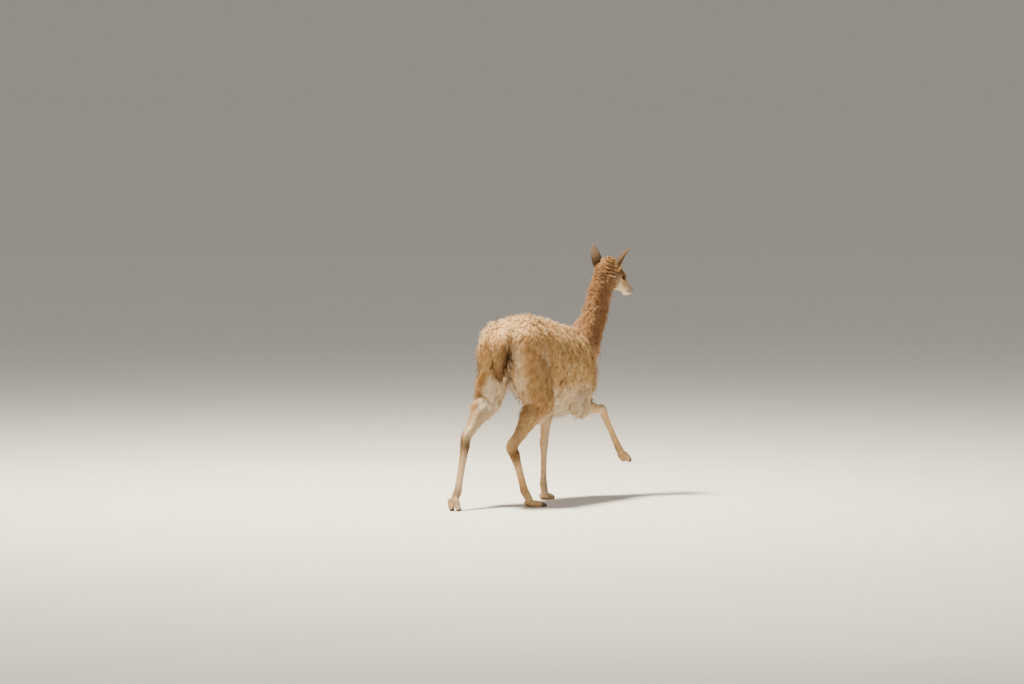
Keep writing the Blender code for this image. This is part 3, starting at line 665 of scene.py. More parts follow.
print("head length:", round(HEAD[-1][0] + 0.01, 3), "m, ear length:", EAR_LENGTH, "m")

# %% [markdown]
# The body's skin is melted from all the tubes at once. The head is melted on its own with a finer
# voxel, because lids, nostrils and lips are small, and is then joined to the neck with a Boolean,
# so that the animal has one skin. The ears are too thin for a voxel remesh, so they join at the
# end.

# %% Melt the body's skin
BODY_VOXEL = 0.0033
BODY_TRIANGLES = 84000
BODY_SOFTENING = 5
TRUNK_SOFTENING = 130
TRUNK_LEVEL = 0.48
TRUNK_FADE = 0.08
SQUARENESS = 2.2
NECK_OVERLAP = 0.02
NECK_TOP = at(-0.021, 0.878, 1.072)
NECK_TOP_NORMAL = Vector((0, -0.26, 1)).normalized()


def trunk_bulk(place):
    """How far the joins are softened: fully on the trunk, not at all on the lower legs."""
    return (place.z - TRUNK_LEVEL) / TRUNK_FADE


def body_skin():
    """The skin of trunk, neck, tail and legs, cut off below the head and flat on the floor."""
    bm = bmesh.new()
    add_loft(bm, thinner(trunk_stations(), WOOL_DEPTH), power=SQUARENESS)
    add_loft(bm, thinner(neck_stations, NECK_WOOL_DEPTH))
    add_loft(bm, thinner(tail_stations, TAIL_WOOL_DEPTH))
    for *place, side, ahead, up in SWELLINGS:
        add_ball(bm, at(*place), (side - WOOL_DEPTH, ahead - WOOL_DEPTH, up - WOOL_DEPTH))
    for name in LEG_JOINTS:
        add_loft(bm, leg_stations(name), leg_side(name))
        for which in SIDES:
            add_loft(bm, thinner(toe_stations(name, which), TOE_FUR), leg_side(name))
    skin = to_object("skin", bm)
    melt(skin, BODY_VOXEL, BODY_SOFTENING, trunk_bulk, TRUNK_SOFTENING, BODY_TRIANGLES)
    trim(skin, NECK_TOP + NECK_TOP_NORMAL * NECK_OVERLAP, NECK_TOP_NORMAL)
    trim(skin, Vector((0, 0, 0)), -UP)
    return skin


skin = body_skin()
print("body skin:", len(skin.data.polygons), "faces")

# %% [markdown]
# The face needs openings. Each eye gets a ring of lid round it, an almond opening and a socket that
# holds the eyeball deep in the head. The nostrils are slanting slits, the mouth is a groove that
# runs back along both cheeks, and the upper lip is split in the middle, as in all camels.

# %% Melt the head's skin and cut its openings
HEAD_VOXEL = 0.0017
HEAD_TRIANGLES = 52000
HEAD_SOFTENING = 8
SKULL_SOFTENING = 150
MUZZLE_START = 0.150
MUZZLE_FADE = 0.04
NOSTRIL_SIDE = 0.0125
NOSTRIL_SLANT = 0.75, 0.65
NOSTRIL_SIZE = (0.0021, 0.0066, 0.0050)
MOUTH_RADIUS = 0.0018
MOUTH_ALONG = 0.205
MOUTH_UP = -0.026
MOUTH_STEP = 7.25
MOUTH_STEPS = 16
LIP_TOP = -0.004
LIP_STEP = 0.00175
LIP_STEPS = 11
LIP_SPLIT_RADIUS = 0.0014


def head_bulk(place):
    """How far the joins are softened: fully on the skull and neck, not at all on the muzzle."""
    return (MUZZLE_START - (place - HEAD_BACK).dot(HEAD_AHEAD)) / MUZZLE_FADE


def head_skin():
    """The skin of the head and the top of the neck, still without openings."""
    bm = bmesh.new()
    add_loft(bm, thinner(neck_stations[-5:], NECK_WOOL_DEPTH))
    stations = [(in_head(0, along, 0), *halves) for along, *halves in HEAD]
    add_loft(bm, thinner(stations, FACE_FUR), HEAD_SIDE, SQUARENESS)
    for outward in SIDES:
        for side, along, up, *radii in HEAD_SWELLINGS:
            place = in_head(side * outward, along, up)
            add_ball(bm, place, [r - FACE_FUR for r in radii], HEAD_AXES)
    head = to_object("head", bm)
    melt(head, HEAD_VOXEL, HEAD_SOFTENING, head_bulk, SKULL_SOFTENING, HEAD_TRIANGLES)
    trim(head, NECK_TOP, -NECK_TOP_NORMAL)
    return head


def cut_face(head):
    """Cuts the eyes' sockets between their lids, the nostrils, the mouth and the split lip."""
    tree = tree_of(head)
    lids, openings, sockets, mouth_line, lip_line = (bmesh.new() for _ in range(5))
    for outward in SIDES:
        eye = eye_centre(outward)
        axes = eye_axes(outward)
        add_ball(lids, eye, (EYE_RADIUS + LID_THICKNESS,) * 3, axes, 48, 28)
        add_ball(openings, eye + axes[0] * EYE_RADIUS, EYE_OPENING, axes, 48, 24)
        add_ball(sockets, eye, (EYE_RADIUS + EYE_GAP,) * 3, axes, 48, 28)
        nostril = tree.find_nearest(in_head(NOSTRIL_SIDE * outward, 0.262, -0.002))[0]
        slit = HEAD_UP * NOSTRIL_SLANT[0] + HEAD_SIDE * outward * NOSTRIL_SLANT[1]
        slit = slit.normalized()
        across = HEAD_AHEAD.cross(slit).normalized()
        add_ball(openings, nostril, NOSTRIL_SIZE, (across, slit, across.cross(slit)), 24, 16)
    middle = in_head(0, MOUTH_ALONG, MOUTH_UP)
    mouth = []
    for k in range(-MOUTH_STEPS, MOUTH_STEPS + 1):
        turn = math.radians(MOUTH_STEP * k)
        ray = HEAD_SIDE * math.sin(turn) + HEAD_AHEAD * math.cos(turn)
        mouth.append(tree.ray_cast(middle, ray)[0])
    levels = [LIP_TOP - LIP_STEP * k for k in range(LIP_STEPS)]
    lip = [tree.ray_cast(in_head(0, MOUTH_ALONG, up), HEAD_AHEAD)[0] for up in levels]
    add_tube(mouth_line, mouth, MOUTH_RADIUS)
    add_tube(lip_line, lip, LIP_SPLIT_RADIUS)
    combine(head, to_object("lids", lids), "UNION")
    for cutter in (openings, lip_line, mouth_line, sockets):
        combine(head, to_object("cutter", cutter), "DIFFERENCE")


head = head_skin()
cut_face(head)
print("head skin:", len(head.data.polygons), "faces")

# %% [markdown]
# A Boolean can leave tiny loose shells where two skins touch almost face to face. Only the largest
# closed surface is kept, which is the animal itself.

# %% Join head, ears and body into one skin
MERGE = 0.00003


def largest_surface(obj):
    """Keeps only an object's largest closed surface."""
    bm = bmesh.new()
    bm.from_mesh(obj.data)
    bmesh.ops.remove_doubles(bm, verts=bm.verts, dist=MERGE)
    left = set(bm.faces)
    groups = []
    while left:
        waiting = [left.pop()]
        group = []
        while waiting:
            face = waiting.pop()
            group.append(face)
            for edge in face.edges:
                for other in edge.link_faces:
                    if other in left:
                        left.remove(other)
                        waiting.append(other)
        groups.append(group)
    groups.sort(key=len)
    bmesh.ops.delete(bm, geom=[f for group in groups[:-1] for f in group], context="FACES")
    bmesh.ops.triangulate(bm, faces=bm.faces)
    bm.to_mesh(obj.data)
    bm.free()


for outward in SIDES:
    ear_bm = bmesh.new()
    add_ear(ear_bm, outward)
    combine(head, to_object("ear", ear_bm), "UNION")
combine(skin, head, "UNION")
largest_surface(skin)
print("whole skin:", len(skin.data.polygons), "triangles")

# %% [markdown]
# The coat isn't the same all over. To know what grows where, lines are laid through the body like
# bones, each with a region's name and the thickness of the flesh round it. A point of the skin
# belongs mostly to the line that it is nearest to, measured in thicknesses, and a little to the
# next ones, so that regions fade into each other. The lines also give the direction in which the
# hair lies.

# %% Lines through the body
LINES = [
    # region, start, end, thickness
    ("fleece", at(0.030, 0.050, 0.810), at(0.000, 0.700, 0.690), 0.155),
    ("neck", at(-0.022, 0.885, 1.080), at(-0.002, 0.740, 0.820), 0.070),
    ("nape", at(-0.027, 0.910, 1.200), at(-0.022, 0.887, 1.100), 0.052),
    ("crown", in_head(0, 0.075, 0.012), in_head(0, 0.005, 0.006), 0.058),
    ("face", in_head(0, 0.165, -0.008), in_head(0, 0.085, -0.012), 0.048),
    ("muzzle", in_head(0, 0.250, -0.012), in_head(0, 0.190, -0.008), 0.030),
    ("tail", at(-0.006, -0.030, 0.850), at(-0.008, -0.044, 0.650), 0.036),
]
EAR_LINES = {}
for outward in SIDES:
    ear_base, ear_up, _, _ = ear_frame(outward)
    EAR_LINES[outward] = len(LINES)
    LINES.append(("ear", ear_base + ear_up * 0.018, ear_base + ear_up * EAR_LENGTH, 0.019))
FIRST_LEG_LINE = len(LINES)
for name, joints in LEG_JOINTS.items():
    hind = name.startswith("hind")
    LINES += [
        ("thigh" if hind else "shoulder", joints[0], joints[1], 0.085 if hind else 0.058),
        ("gaskin" if hind else "forearm", joints[1], joints[2], 0.042 if hind else 0.034),
        ("cannon", joints[2], joints[3], 0.020),
        ("pastern", joints[3], joints[4], 0.021),
        ("toe", joints[4], joints[5], 0.021),
    ]
LENGTH, HALF_WIDTH, HEIGHT, TUFTS, CLUMP, PULL = range(6)
COATS = {
    # region: length, half width, height of tips, tufts on a square metre, size and pull of clumps
    "fleece": (0.036, 0.0015, 0.0110, 112000, 0.020, 0.45),
    "neck": (0.022, 0.0009, 0.0085, 210000, 0.012, 0.45),
    "nape": (0.012, 0.0007, 0.0050, 420000, 0.006, 0.30),
    "crown": (0.012, 0.0007, 0.0050, 420000, 0.006, 0.30),
    "face": (0.0070, 0.0007, 0.0014, 200000, 0.006, 0.20),
    "muzzle": (0.0040, 0.0005, 0.0009, 180000, 0.006, 0.00),
    "tail": (0.070, 0.0014, 0.0230, 260000, 0.013, 0.35),
    "ear": (0.0065, 0.0005, 0.0010, 420000, 0.006, 0.10),
    "thigh": (0.036, 0.0015, 0.0105, 116000, 0.019, 0.50),
    "shoulder": (0.034, 0.0015, 0.0100, 112000, 0.019, 0.50),
    "gaskin": (0.020, 0.0010, 0.0052, 150000, 0.012, 0.45),
    "forearm": (0.015, 0.0009, 0.0038, 150000, 0.010, 0.40),
    "cannon": (0.0090, 0.0008, 0.0020, 160000, 0.007, 0.30),
    "pastern": (0.0100, 0.0008, 0.0022, 160000, 0.007, 0.30),
    "toe": (0.0060, 0.0007, 0.0012, 190000, 0.006, 0.20),
}
CHEST_COAT = (0.078, 0.0017, 0.0180, 110000, 0.022, 0.55)
BELLY_COAT = (0.056, 0.0015, 0.0160, 105000, 0.020, 0.50)
print(len(LINES), "lines,", len(COATS), "kinds of coat")

# %% [markdown]
# From here on the skin is handled as long arrays of numbers, which is many times quicker than one
# point after another. The first arrays are the skin's points, its triangles and the way out at each
# point. A Boolean may list its triangles in another order at each run, so they are sorted first:
# chance then deals the same tufts to the same triangles every time.

# %% The skin as arrays
def read_skin(obj):
    """Points, triangles and the direction out of the skin at each point."""
    mesh = obj.data
    points = np.zeros(len(mesh.vertices) * 3)
    mesh.vertices.foreach_get("co", points)
    outs = np.zeros(len(mesh.vertices) * 3)
    mesh.vertices.foreach_get("normal", outs)
    corners = np.zeros(len(mesh.polygons) * 3, np.int64)
    mesh.polygons.foreach_get("vertices", corners)
    return points.reshape(-1, 3), corners.reshape(-1, 3), outs.reshape(-1, 3)


def in_fixed_order(obj):
    """Starts each triangle at its first corner and sorts the triangles by their corners."""
    points, corners, _ = read_skin(obj)
    turn = (corners.argmin(1)[:, None] + np.arange(3)) % 3
    corners = np.take_along_axis(corners, turn, 1)
    obj.data.clear_geometry()
    obj.data.from_pydata(points, [], corners[np.lexsort(corners.T[::-1])])
    obj.data.update()


def smooth(low, high, values):
    """0 below low, 1 above high and an even slope between; low may be the larger."""
    t = np.clip((values - low) / (high - low), 0, 1)
    return t * t * (3 - 2 * t)


def unit(vectors):
    """Vectors of the same directions, each 1 long."""
    return vectors / np.maximum(np.linalg.norm(vectors, axis=1, keepdims=True), 1e-9)


def along_line(points, start, end):
    """Each point's share of the way along a line, and its distance from the line."""
    a = np.array(start)
    line = np.array(end) - a
    share = (points - a) @ line / (line @ line)
    foot = a + np.clip(share, 0, 1)[:, None] * line
    return share, np.linalg.norm(points - foot, axis=1)


in_fixed_order(skin)
points, triangles, outs = read_skin(skin)
print("skin:", len(points), "points,", len(triangles), "triangles")

# %% [markdown]
# Each point gets a weight for every line. The ears are an exception: they stand so close to the
# crown that the nearest line would mix the two coats, so a point belongs to an ear by where it lies
# in the ear's own frame. The long wool beside an ear is noted as well, because it mustn't cover the
# ear.

# %% Which region each point belongs to
FADE = 8
EAR_STARTS = (0.010, 0.028)
EAR_EDGE = (0.031, 0.025)
EAR_WIDENS = 0.2
EAR_MIDDLE = 0.012
EAR_SURROUNDINGS = (0.050, 0.040)
EAR_OPEN_SIDE = (0.15, 0.55)

away_from_lines = [along_line(points, start, end)[1] / thick for _, start, end, thick in LINES]
reach = np.stack(away_from_lines, 1)
weights = np.exp(-FADE * (reach - reach.min(1, keepdims=True)))
weights /= weights.sum(1, keepdims=True)
ear_share, ear_inside, beside_ear = np.zeros((3, len(points)))
for outward, line_number in EAR_LINES.items():
    ear_base, ear_up, ear_facing, _ = (np.array(v) for v in ear_frame(outward))
    away = points - ear_base
    level = away @ ear_up
    radius = np.linalg.norm(away - level[:, None] * ear_up, axis=1)
    on_ear = smooth(*EAR_STARTS, level) * smooth(*EAR_EDGE, radius - EAR_WIDENS * level)
    weights = weights * (1 - on_ear[:, None])
    weights[:, line_number] += on_ear
    ear_share += on_ear
    ear_inside += on_ear * smooth(*EAR_OPEN_SIDE, outs @ ear_facing)
    from_middle = np.linalg.norm(away - ear_up * EAR_MIDDLE, axis=1)
    beside_ear = np.maximum(beside_ear, smooth(*EAR_SURROUNDINGS, from_middle))
nearest = weights.argmax(1)
line_regions = np.array([line[0] for line in LINES])
regions = {name: weights[:, line_regions == name].sum(1) for name in COATS}
side, ahead, up = points[:, 0] + MIDDLE_SIDE, BUTTOCK_Y - points[:, 1], points[:, 2]
print("largest:", ", ".join(name for name in regions if regions[name].mean() > 0.05))

# %% [markdown]
# Now the markings. A vicuna is golden tan above and white below, with a cinnamon neck, a white bib
# of long hair on the chest, and white inside the legs. Each marking is a number from 0 to 1 at each
# point of the skin. The skin's colour and the tufts' colour are both mixed from these numbers, so
# they agree.

# %% Masks for the markings
# Levels and places ahead are in metres. A mask on a direction reads the way out of the skin, from
# -1 to 1. Each fade runs from 0 at its first number to 1 at its second.
head_along = (points - np.array(HEAD_BACK)) @ np.array(HEAD_AHEAD)
head_up = (points - np.array(HEAD_BACK)) @ np.array(HEAD_UP)
body = regions["fleece"] + regions["thigh"] + regions["shoulder"]
neck = regions["neck"] + regions["nape"]
lower_legs = sum(regions[name] for name in ("gaskin", "forearm", "cannon", "pastern", "toe"))
outer = np.zeros(len(points))
for name, leg_lines in zip(LEG_JOINTS, np.arange(FIRST_LEG_LINE, len(LINES)).reshape(4, -1)):
    outward = 1 if name.endswith("left") else -1
    for line_number in leg_lines:
        outer += weights[:, line_number] * (outs @ np.array(leg_side(name)) * outward)
under = smooth(-0.10, -0.65, outs[:, 2])
low_flank = smooth(0.66, 0.55, up) * smooth(0.20, 0.28, ahead) * smooth(0.70, 0.60, ahead)
rump_edge = np.exp(-(((ahead - 0.20) / 0.035) ** 2)) * smooth(0.86, 0.78, up)
inner_leg = smooth(0.10, -0.45, outer) * smooth(0.82, 0.60, up)
chest = smooth(0.66, 0.71, ahead) * smooth(-0.25, 0.15, -outs[:, 1] - 0.55)
chest = chest * smooth(0.86, 0.80, up) * body
bib = smooth(0.10, 0.04, np.abs(side + 0.004)) * chest
throat = smooth(0.15, 0.75, -outs[:, 1] - 0.35 * outs[:, 2]) * neck * smooth(0.95, 1.10, up)
chin = regions["muzzle"] * smooth(-0.016, -0.026, head_up)
chin = chin + regions["face"] * smooth(-0.020, -0.045, head_up)
for name, mask in (("chest", chest), ("inner legs", inner_leg), ("throat", throat)):
    print(name, "has", int((mask > 0.5).sum()), "points")

# %% [markdown]
# The broad markings are sums of regions and masks. White wins over rust where both are high,
# because it is laid over it later, and brown is laid over both.

# %% Broad markings
outside = 1 - inner_leg
cream = (
    body * np.maximum.reduce([under * smooth(0.80, 0.70, up), 0.80 * low_flank, inner_leg])
    + 0.9 * bib
    + lower_legs * (0.12 + 0.58 * smooth(0.15, -0.45, outer))
    + 0.8 * regions["fleece"] * rump_edge
    + 0.75 * throat
    + chin
)
rust = np.clip(
    1.1 * neck
    + 0.9 * regions["crown"]
    + 0.45 * regions["face"]
    + 0.8 * regions["tail"]
    + 0.5 * regions["thigh"] * smooth(0.86, 0.74, up) * outside
    + body * (0.55 * smooth(0.62, 0.74, ahead) + 0.10 * smooth(0.80, 0.95, up)),
    0,
    1,
)
brown = (
    0.65 * regions["tail"] * smooth(0.88, 0.70, up)
    + 0.28 * regions["gaskin"] * outside
    + 0.12 * regions["thigh"] * smooth(0.80, 0.65, up) * outside
    + 0.20 * regions["nape"]
)
ash = 0.9 * regions["muzzle"] + 0.3 * regions["face"] * smooth(0.11, 0.17, head_along)
MARKINGS = {
    "cream": cream,
    "rust": rust,
    "brown": brown,
    "grey": 0.95 * (ear_share - ear_inside),
    "ash": ash * (1 - chin),
}
print("broad markings:", ", ".join(MARKINGS))

# %% [markdown]
# Small patches are laid over the broad markings: brown below the hocks and at the fetlocks, brown
# and white beside the tail, white on the lifted knee, and pale cheeks. Each is a soft round spot.

# %% Spots
HOCK, FETLOCK = 2, 3
lifted_elbow, lifted_knee = LEG_JOINTS["fore_right"][1:3]
SPOTS = [
    # marking, strength, place, half sizes
    ("brown", 0.80, at(-0.034, 0.000, 0.800), (0.020, 0.060, 0.050)),
    ("cream", 0.90, at(-0.066, 0.010, 0.760), (0.020, 0.060, 0.060)),
    ("cream", 0.85, between(lifted_elbow, lifted_knee, 0.80), (0.055, 0.060, 0.045)),
]
for name, joints in LEG_JOINTS.items():
    if name.startswith("hind"):
        below_hock = between(joints[HOCK], joints[FETLOCK], 0.20)
        SPOTS.append(("brown", 1.30, below_hock, (0.035, 0.035, 0.045)))
        SPOTS.append(("brown", 0.60, joints[FETLOCK] + BACK * 0.02, (0.030, 0.030, 0.035)))
    else:
        SPOTS.append(("brown", 0.35, joints[FETLOCK], (0.030, 0.030, 0.030)))
CHEEK = (0.048, 0.078, -0.020)
CHEEK_SIZE = (0.030, 0.030, 0.032)


def spot(place, half_sizes):
    """A soft round patch of 1 round a place."""
    return np.exp(-(((points - np.array(place)) / np.array(half_sizes)) ** 2).sum(1))


for marking_name, strength, place, half_sizes in SPOTS:
    MARKINGS[marking_name] += strength * spot(place, half_sizes)
for outward in SIDES:
    cheek = spot(in_head(CHEEK[0] * outward, *CHEEK[1:]), CHEEK_SIZE)
    MARKINGS["cream"] += 0.45 * cheek
    MARKINGS["rust"] *= 1 - 0.7 * cheek
MARKINGS["cream"] += 0.75 * ear_inside
MARKINGS["rust"] *= 1 - ear_inside
for name, values in MARKINGS.items():
    np.clip(values, 0, 1, out=values)
    print(name, "covers", round(float(values.mean()) * 100), "% of the skin's points")

# %% [markdown]
# The bare places carry no tufts. The rims of the lids and the nose pad are dark skin, and the
# nostrils and the line of the mouth are painted dark as shade inside these openings. They are found
# by distance from the eye, the nostril and the mouth's line. The thin skin round the eyes is kept
# free of tufts too, so that none stands in front of an eye.

# %% Bare places
NOSE = (0, 0.256, -0.003)
NOSE_SIZE = 0.013
NOSTRIL_REACH = 0.0085
EYE_SURROUNDINGS = 0.024


def closeness(places, size):
    """1 on the given places and 0 at a distance of size or more from each."""
    found = np.full(len(points), 9.0)
    for place in places:
        found = np.minimum(found, np.linalg.norm(points - np.array(place), axis=1))
    return smooth(size, size * 0.5, found)


eyes = [eye_centre(outward) for outward in SIDES]
lid_rim = np.zeros(len(points))
for outward, eye in zip(SIDES, eyes):
    out, along, above = (np.array(axis) for axis in eye_axes(outward))
    away = points - np.array(eye)
    _, half_long, half_high = EYE_OPENING
    face_on = np.sqrt(((away @ along) / half_long) ** 2 + ((away @ above) / half_high) ** 2)
    lid_rim = np.maximum(lid_rim, smooth(1.22, 1.05, face_on) * (away @ out > 0))
nostril_places = [in_head(NOSTRIL_SIDE * outward, 0.253, -0.002) for outward in SIDES]
# Painted shade: the nostril openings are painted dark.
nostril_shade = closeness(nostril_places, NOSTRIL_REACH)
nose_pad = closeness([in_head(*NOSE)], NOSE_SIZE)
# Painted shade: a dark line along the mouth's groove.
mouth_groove_shade = smooth(0.0030, 0.0018, np.abs(head_up - MOUTH_UP)) * smooth(0.17, 0.19, head_along)
mouth_groove_shade = mouth_groove_shade * smooth(0.5, 0.9, regions["muzzle"])
no_tufts = closeness(eyes, EYE_SURROUNDINGS) * (regions["face"] > 0.3)
MARKINGS["bare"] = np.clip(lid_rim + nostril_shade + nose_pad * 0.9 + mouth_groove_shade * 0.8, 0, 1)
print("bare points:", int((MARKINGS["bare"] > 0.5).sum()))

# %% [markdown]
# Hair lies in a set direction at each place: backwards and down over the trunk, down the neck and
# legs, back from the nose. At every point the regions' directions are added by their weights and
# laid flat on the skin. The length, width and height of the tufts are added up in the same way.

# %% The lie and size of the coat
FLEECE_BACK = 0.9
FLEECE_FALL = 0.25
FLEECE_SIDE_FALL = 0.9
CROWN_FALL = 0.8
LIMB_BACK = 0.45


def lie_of(region, start, end):
    """The direction in which a region's hair lies, at every point."""
    if region == "fleece":
        fall = FLEECE_FALL + FLEECE_SIDE_FALL * np.abs(outs[:, 0])
        return np.stack([np.zeros(len(points)), np.full(len(points), FLEECE_BACK), -fall], 1)
    if region == "crown":
        return np.tile(np.array(BACK - UP * CROWN_FALL), (len(points), 1))
    if region in ("thigh", "shoulder"):
        return np.tile(np.array(BACK * LIMB_BACK - UP), (len(points), 1))
    return np.tile(np.array((end - start).normalized()), (len(points), 1))


lie = sum(weights[:, [i]] * unit(lie_of(*line[:3])) for i, line in enumerate(LINES))
coat = sum(regions[name][:, None] * np.array(sizes) for name, sizes in COATS.items())
print("tufts up to", round(coat[:, LENGTH].max() * 1000, 1), "mm long")

# %% [markdown]
# Four places have a coat of their own. The fur thins out down the gaskin and forearm to that of the
# cannon, which hides the step between two regions. The ears are short-haired to their root. The
# chest has a fringe of long straight hair that hangs down, and the belly's wool hangs down and
# back.

# %% Places with a coat of their own
CANNON_FADE = (0.30, 0.95)
CHEST_LIE = (0, 0.15, -1.0)
BELLY_LIE = (0, 0.8, -0.7)


def towards(values, target, share):
    """Values moved towards a target by a share at each point."""
    return values + share[:, None] * (np.array(target) - values)


def flat_on_skin(directions):
    """Directions laid flat on the skin at each point."""
    return unit(directions - outs * (directions * outs).sum(1, keepdims=True))


for line_number, (region, start, end, _) in enumerate(LINES):
    if region in ("gaskin", "forearm"):
        share = smooth(*CANNON_FADE, along_line(points, start, end)[0])
        coat = towards(coat, COATS["cannon"], weights[:, line_number] * share)
long_chest = np.clip(chest, 0, 1)
belly = under * smooth(0.20, 0.28, ahead) * smooth(0.62, 0.56, up) * body
coat = towards(coat, COATS["ear"], ear_share)
coat = towards(coat, CHEST_COAT, long_chest)
coat = towards(coat, BELLY_COAT, belly)
straight_down = long_chest[:, None] * (np.array(CHEST_LIE) - lie)
lie = flat_on_skin(lie + (straight_down + belly[:, None] * (np.array(BELLY_LIE) - lie)))
print("now up to", round(coat[:, LENGTH].max() * 1000, 1), "mm long")

# %% [markdown]
# Behind the ears a vicuna's wool lies in soft folds that run across the nape, as the head turns.
# They are made as waves, swayed by noise: the skin sinks into the furrows between two folds, the
# tufts stand low there and are darkened with the brown marking as painted shade, and on the folds
# they stand high. The hair is then laid flat on the new skin.

# %% Folds of wool on the nape and crown
FOLD_LENGTH = 0.018
FOLD_DEPTH = 0.0110
FOLD_SLOPE = 0.75
FOLD_MIDDLE = 0.012
FOLD_SWAY = 0.6
FOLD_NOISE = ((22, 0.9), (55, 0.35))
FOLD_REGIONS = {"nape": 1.2, "crown": 0.9}
# Painted shade laid into the furrows as brown.
FURROW_PAINTED_SHADE = 0.7
FOLD_RISE = 0.9
FURROW_DIP = 0.6


def fold_height():
    """How high the wool stands, from 0 in a furrow to 1 on a fold."""
    heights = np.ones(len(points))
    where = np.flatnonzero(regions["nape"] + regions["crown"] > 0.15)
    for i in where:
        place = Vector(points[i])
        sway = sum(noise.noise(place * scale) * size for scale, size in FOLD_NOISE)
        away = place - HEAD_BACK
        aside = abs(away.dot(HEAD_SIDE) - FOLD_MIDDLE) * FOLD_SLOPE
        along = (away.dot(HEAD_UP * 0.9 - HEAD_AHEAD * 0.5) + aside) / FOLD_LENGTH
        heights[i] = 0.5 + 0.5 * math.sin(math.tau * (along + sway * FOLD_SWAY))
    return heights


folds = fold_height()
backwards = smooth(0.05, -0.40, outs @ np.array(HEAD_AHEAD))
folded = sum(regions[name] * share for name, share in FOLD_REGIONS.items())
fold_share = np.clip(folded, 0, 1) * backwards
fold_share *= 1 - ear_share
coat[:, HEIGHT] *= 1 + fold_share * (FOLD_RISE * folds - FURROW_DIP)
# Painted shade: the furrows are darkened with the brown marking.
furrow_painted_shade = FURROW_PAINTED_SHADE * fold_share * (1 - folds) ** 2
MARKINGS["brown"] = np.clip(MARKINGS["brown"] + furrow_painted_shade, 0, 1)
points -= outs * (FOLD_DEPTH * fold_share * (1 - folds))[:, None]
skin.data.vertices.foreach_set("co", points.reshape(-1))
skin.data.update()
outs = read_skin(skin)[2]
lie = flat_on_skin(lie)
print("folds on", int((fold_share > 0.5).sum()), "points")

# %% [markdown]
# The roots are strewn triangle by triangle: each triangle of the skin gets the number of tufts that
# its area asks for, and what is left over decides by chance. This spreads them evenly with no
# pattern. Everything that the skin knows at its corners is then read at each root.

# %% Strew the roots
SEED = 11
SHORT_FUR = 0.0125
BARE_FADE = (0.2, 0.6)
SOLE_LEVEL = 0.005
TURN_SPREAD = 0.22
TURN_UNEVENNESS = 0.10
LENGTH_RANGE = (0.75, 1.25)
HEIGHT_RANGE = (0.70, 1.20)
WISPS = 0.07
WISP_CHANGES = {LENGTH: 1.3, HEIGHT: 2.3, PULL: 0.3}
chance = np.random.default_rng(SEED)


def strew():
    """The triangle of each root and its place in that triangle."""
    a, b, c = (points[triangles[:, k]] for k in range(3))
    areas = np.linalg.norm(np.cross(b - a, c - a), axis=1) / 2
    bare = np.maximum(MARKINGS["bare"], no_tufts)[triangles].mean(1)
    asked = areas * coat[:, TUFTS][triangles].mean(1) * (1 - smooth(*BARE_FADE, bare))
    asked[points[:, 2][triangles].mean(1) < SOLE_LEVEL] = 0
    count = np.floor(asked + chance.random(len(asked))).astype(int)
    owner = np.repeat(np.arange(len(triangles)), count)
    shares = chance.random((len(owner), 2))
    flip = shares.sum(1) > 1
    shares[flip] = 1 - shares[flip]
    return owner, np.column_stack([1 - shares.sum(1), shares])


owner, shares = strew()


def at_roots(values):
    """What the skin's corners hold, read at each root."""
    return np.einsum("rk,rk...->r...", shares, values[triangles[owner]])


roots = at_roots(points)
root_outs = unit(at_roots(outs))
root_lie = at_roots(lie)
root_coat = at_roots(coat)
root_marks = {name: at_roots(values) for name, values in MARKINGS.items()}
root_line = nearest[triangles[owner, 0]]
print("roots:", len(roots))

# %% [markdown]
# No two tufts are alike. Each turns a little out of the common direction and has a length and
# height of its own. A few long ones are wisps, which stand out from the locks round them.

# %% Give each tuft its own turn and size
spread = TURN_SPREAD + TURN_UNEVENNESS * chance.standard_normal(len(roots))
turn = (spread * chance.standard_normal(len(roots)))[:, None]
across = np.cross(root_lie, root_outs)
root_lie = unit(root_lie * np.cos(turn) + across * np.sin(turn))
root_coat[:, LENGTH] *= chance.uniform(*LENGTH_RANGE, len(roots))
root_coat[:, HEIGHT] *= chance.uniform(*HEIGHT_RANGE, len(roots))
is_long = (root_coat[:, LENGTH] > SHORT_FUR) & (at_roots(beside_ear) < 0.5)
wisp = is_long & (chance.random(len(roots)) < WISPS)
for column, factor in WISP_CHANGES.items():
    root_coat[wisp, column] *= factor
root_shade = chance.random(len(roots))
print("long tufts:", int(is_long.sum()), "of them wisps:", int(wisp.sum()))

# %% [markdown]
# Long tufts follow the curve of the body: the middle and the tip of each are set over the nearest
# point of the skin, at the height of the coat. Wool also gathers into locks, so each tip is pulled
# towards the tip of the nearest of a few leading tufts. All tufts of a lock share a height and a
# tint of their own. The pull is what makes the surface read as wool and not as a brush. The tuft at
# the end of the tail hangs free, past the end of the skin, so its tips aren't set over the skin.

# %% Bend and clump the long tufts
MIDDLE_SHARE = 0.45
MIDDLE_HEIGHT = 0.62
MIDDLE_PULL = 0.35
TAIL_END_LEVEL = 0.70
TAIL_END_SHARE = 0.65
TAIL_END_RISE = 0.3
TAIL_MIDDLE_RISE = 0.003
LOCK_HEIGHT_RANGE = (0.60, 1.40)
PULL_RANGE = (0.4, 1.0)
LOCK_TINT = 0.6


def over_skin(tree, places, heights):
    """Each place moved to stand at a height over the nearest point of the skin."""
    out = np.empty_like(places)
    for i, (place, height) in enumerate(zip(places, heights)):
        found, direction, *_ = tree.find_nearest(Vector(place))
        out[i] = found + direction * height
    return out


def leading(places, sizes):
    """For each tuft, its lock's leading tuft: the nearest of those picked, one to each cell."""
    taken = {}
    cells = np.floor(places / sizes[:, None]).astype(int)
    for i in chance.permutation(len(places)):
        taken.setdefault(tuple(cells[i]), i)
    chosen = list(taken.values())
    leaders = KDTree(len(chosen))
    for k, i in enumerate(chosen):
        leaders.insert(places[i], k)
    leaders.balance()
    return np.array([chosen[leaders.find(place)[1]] for place in places])


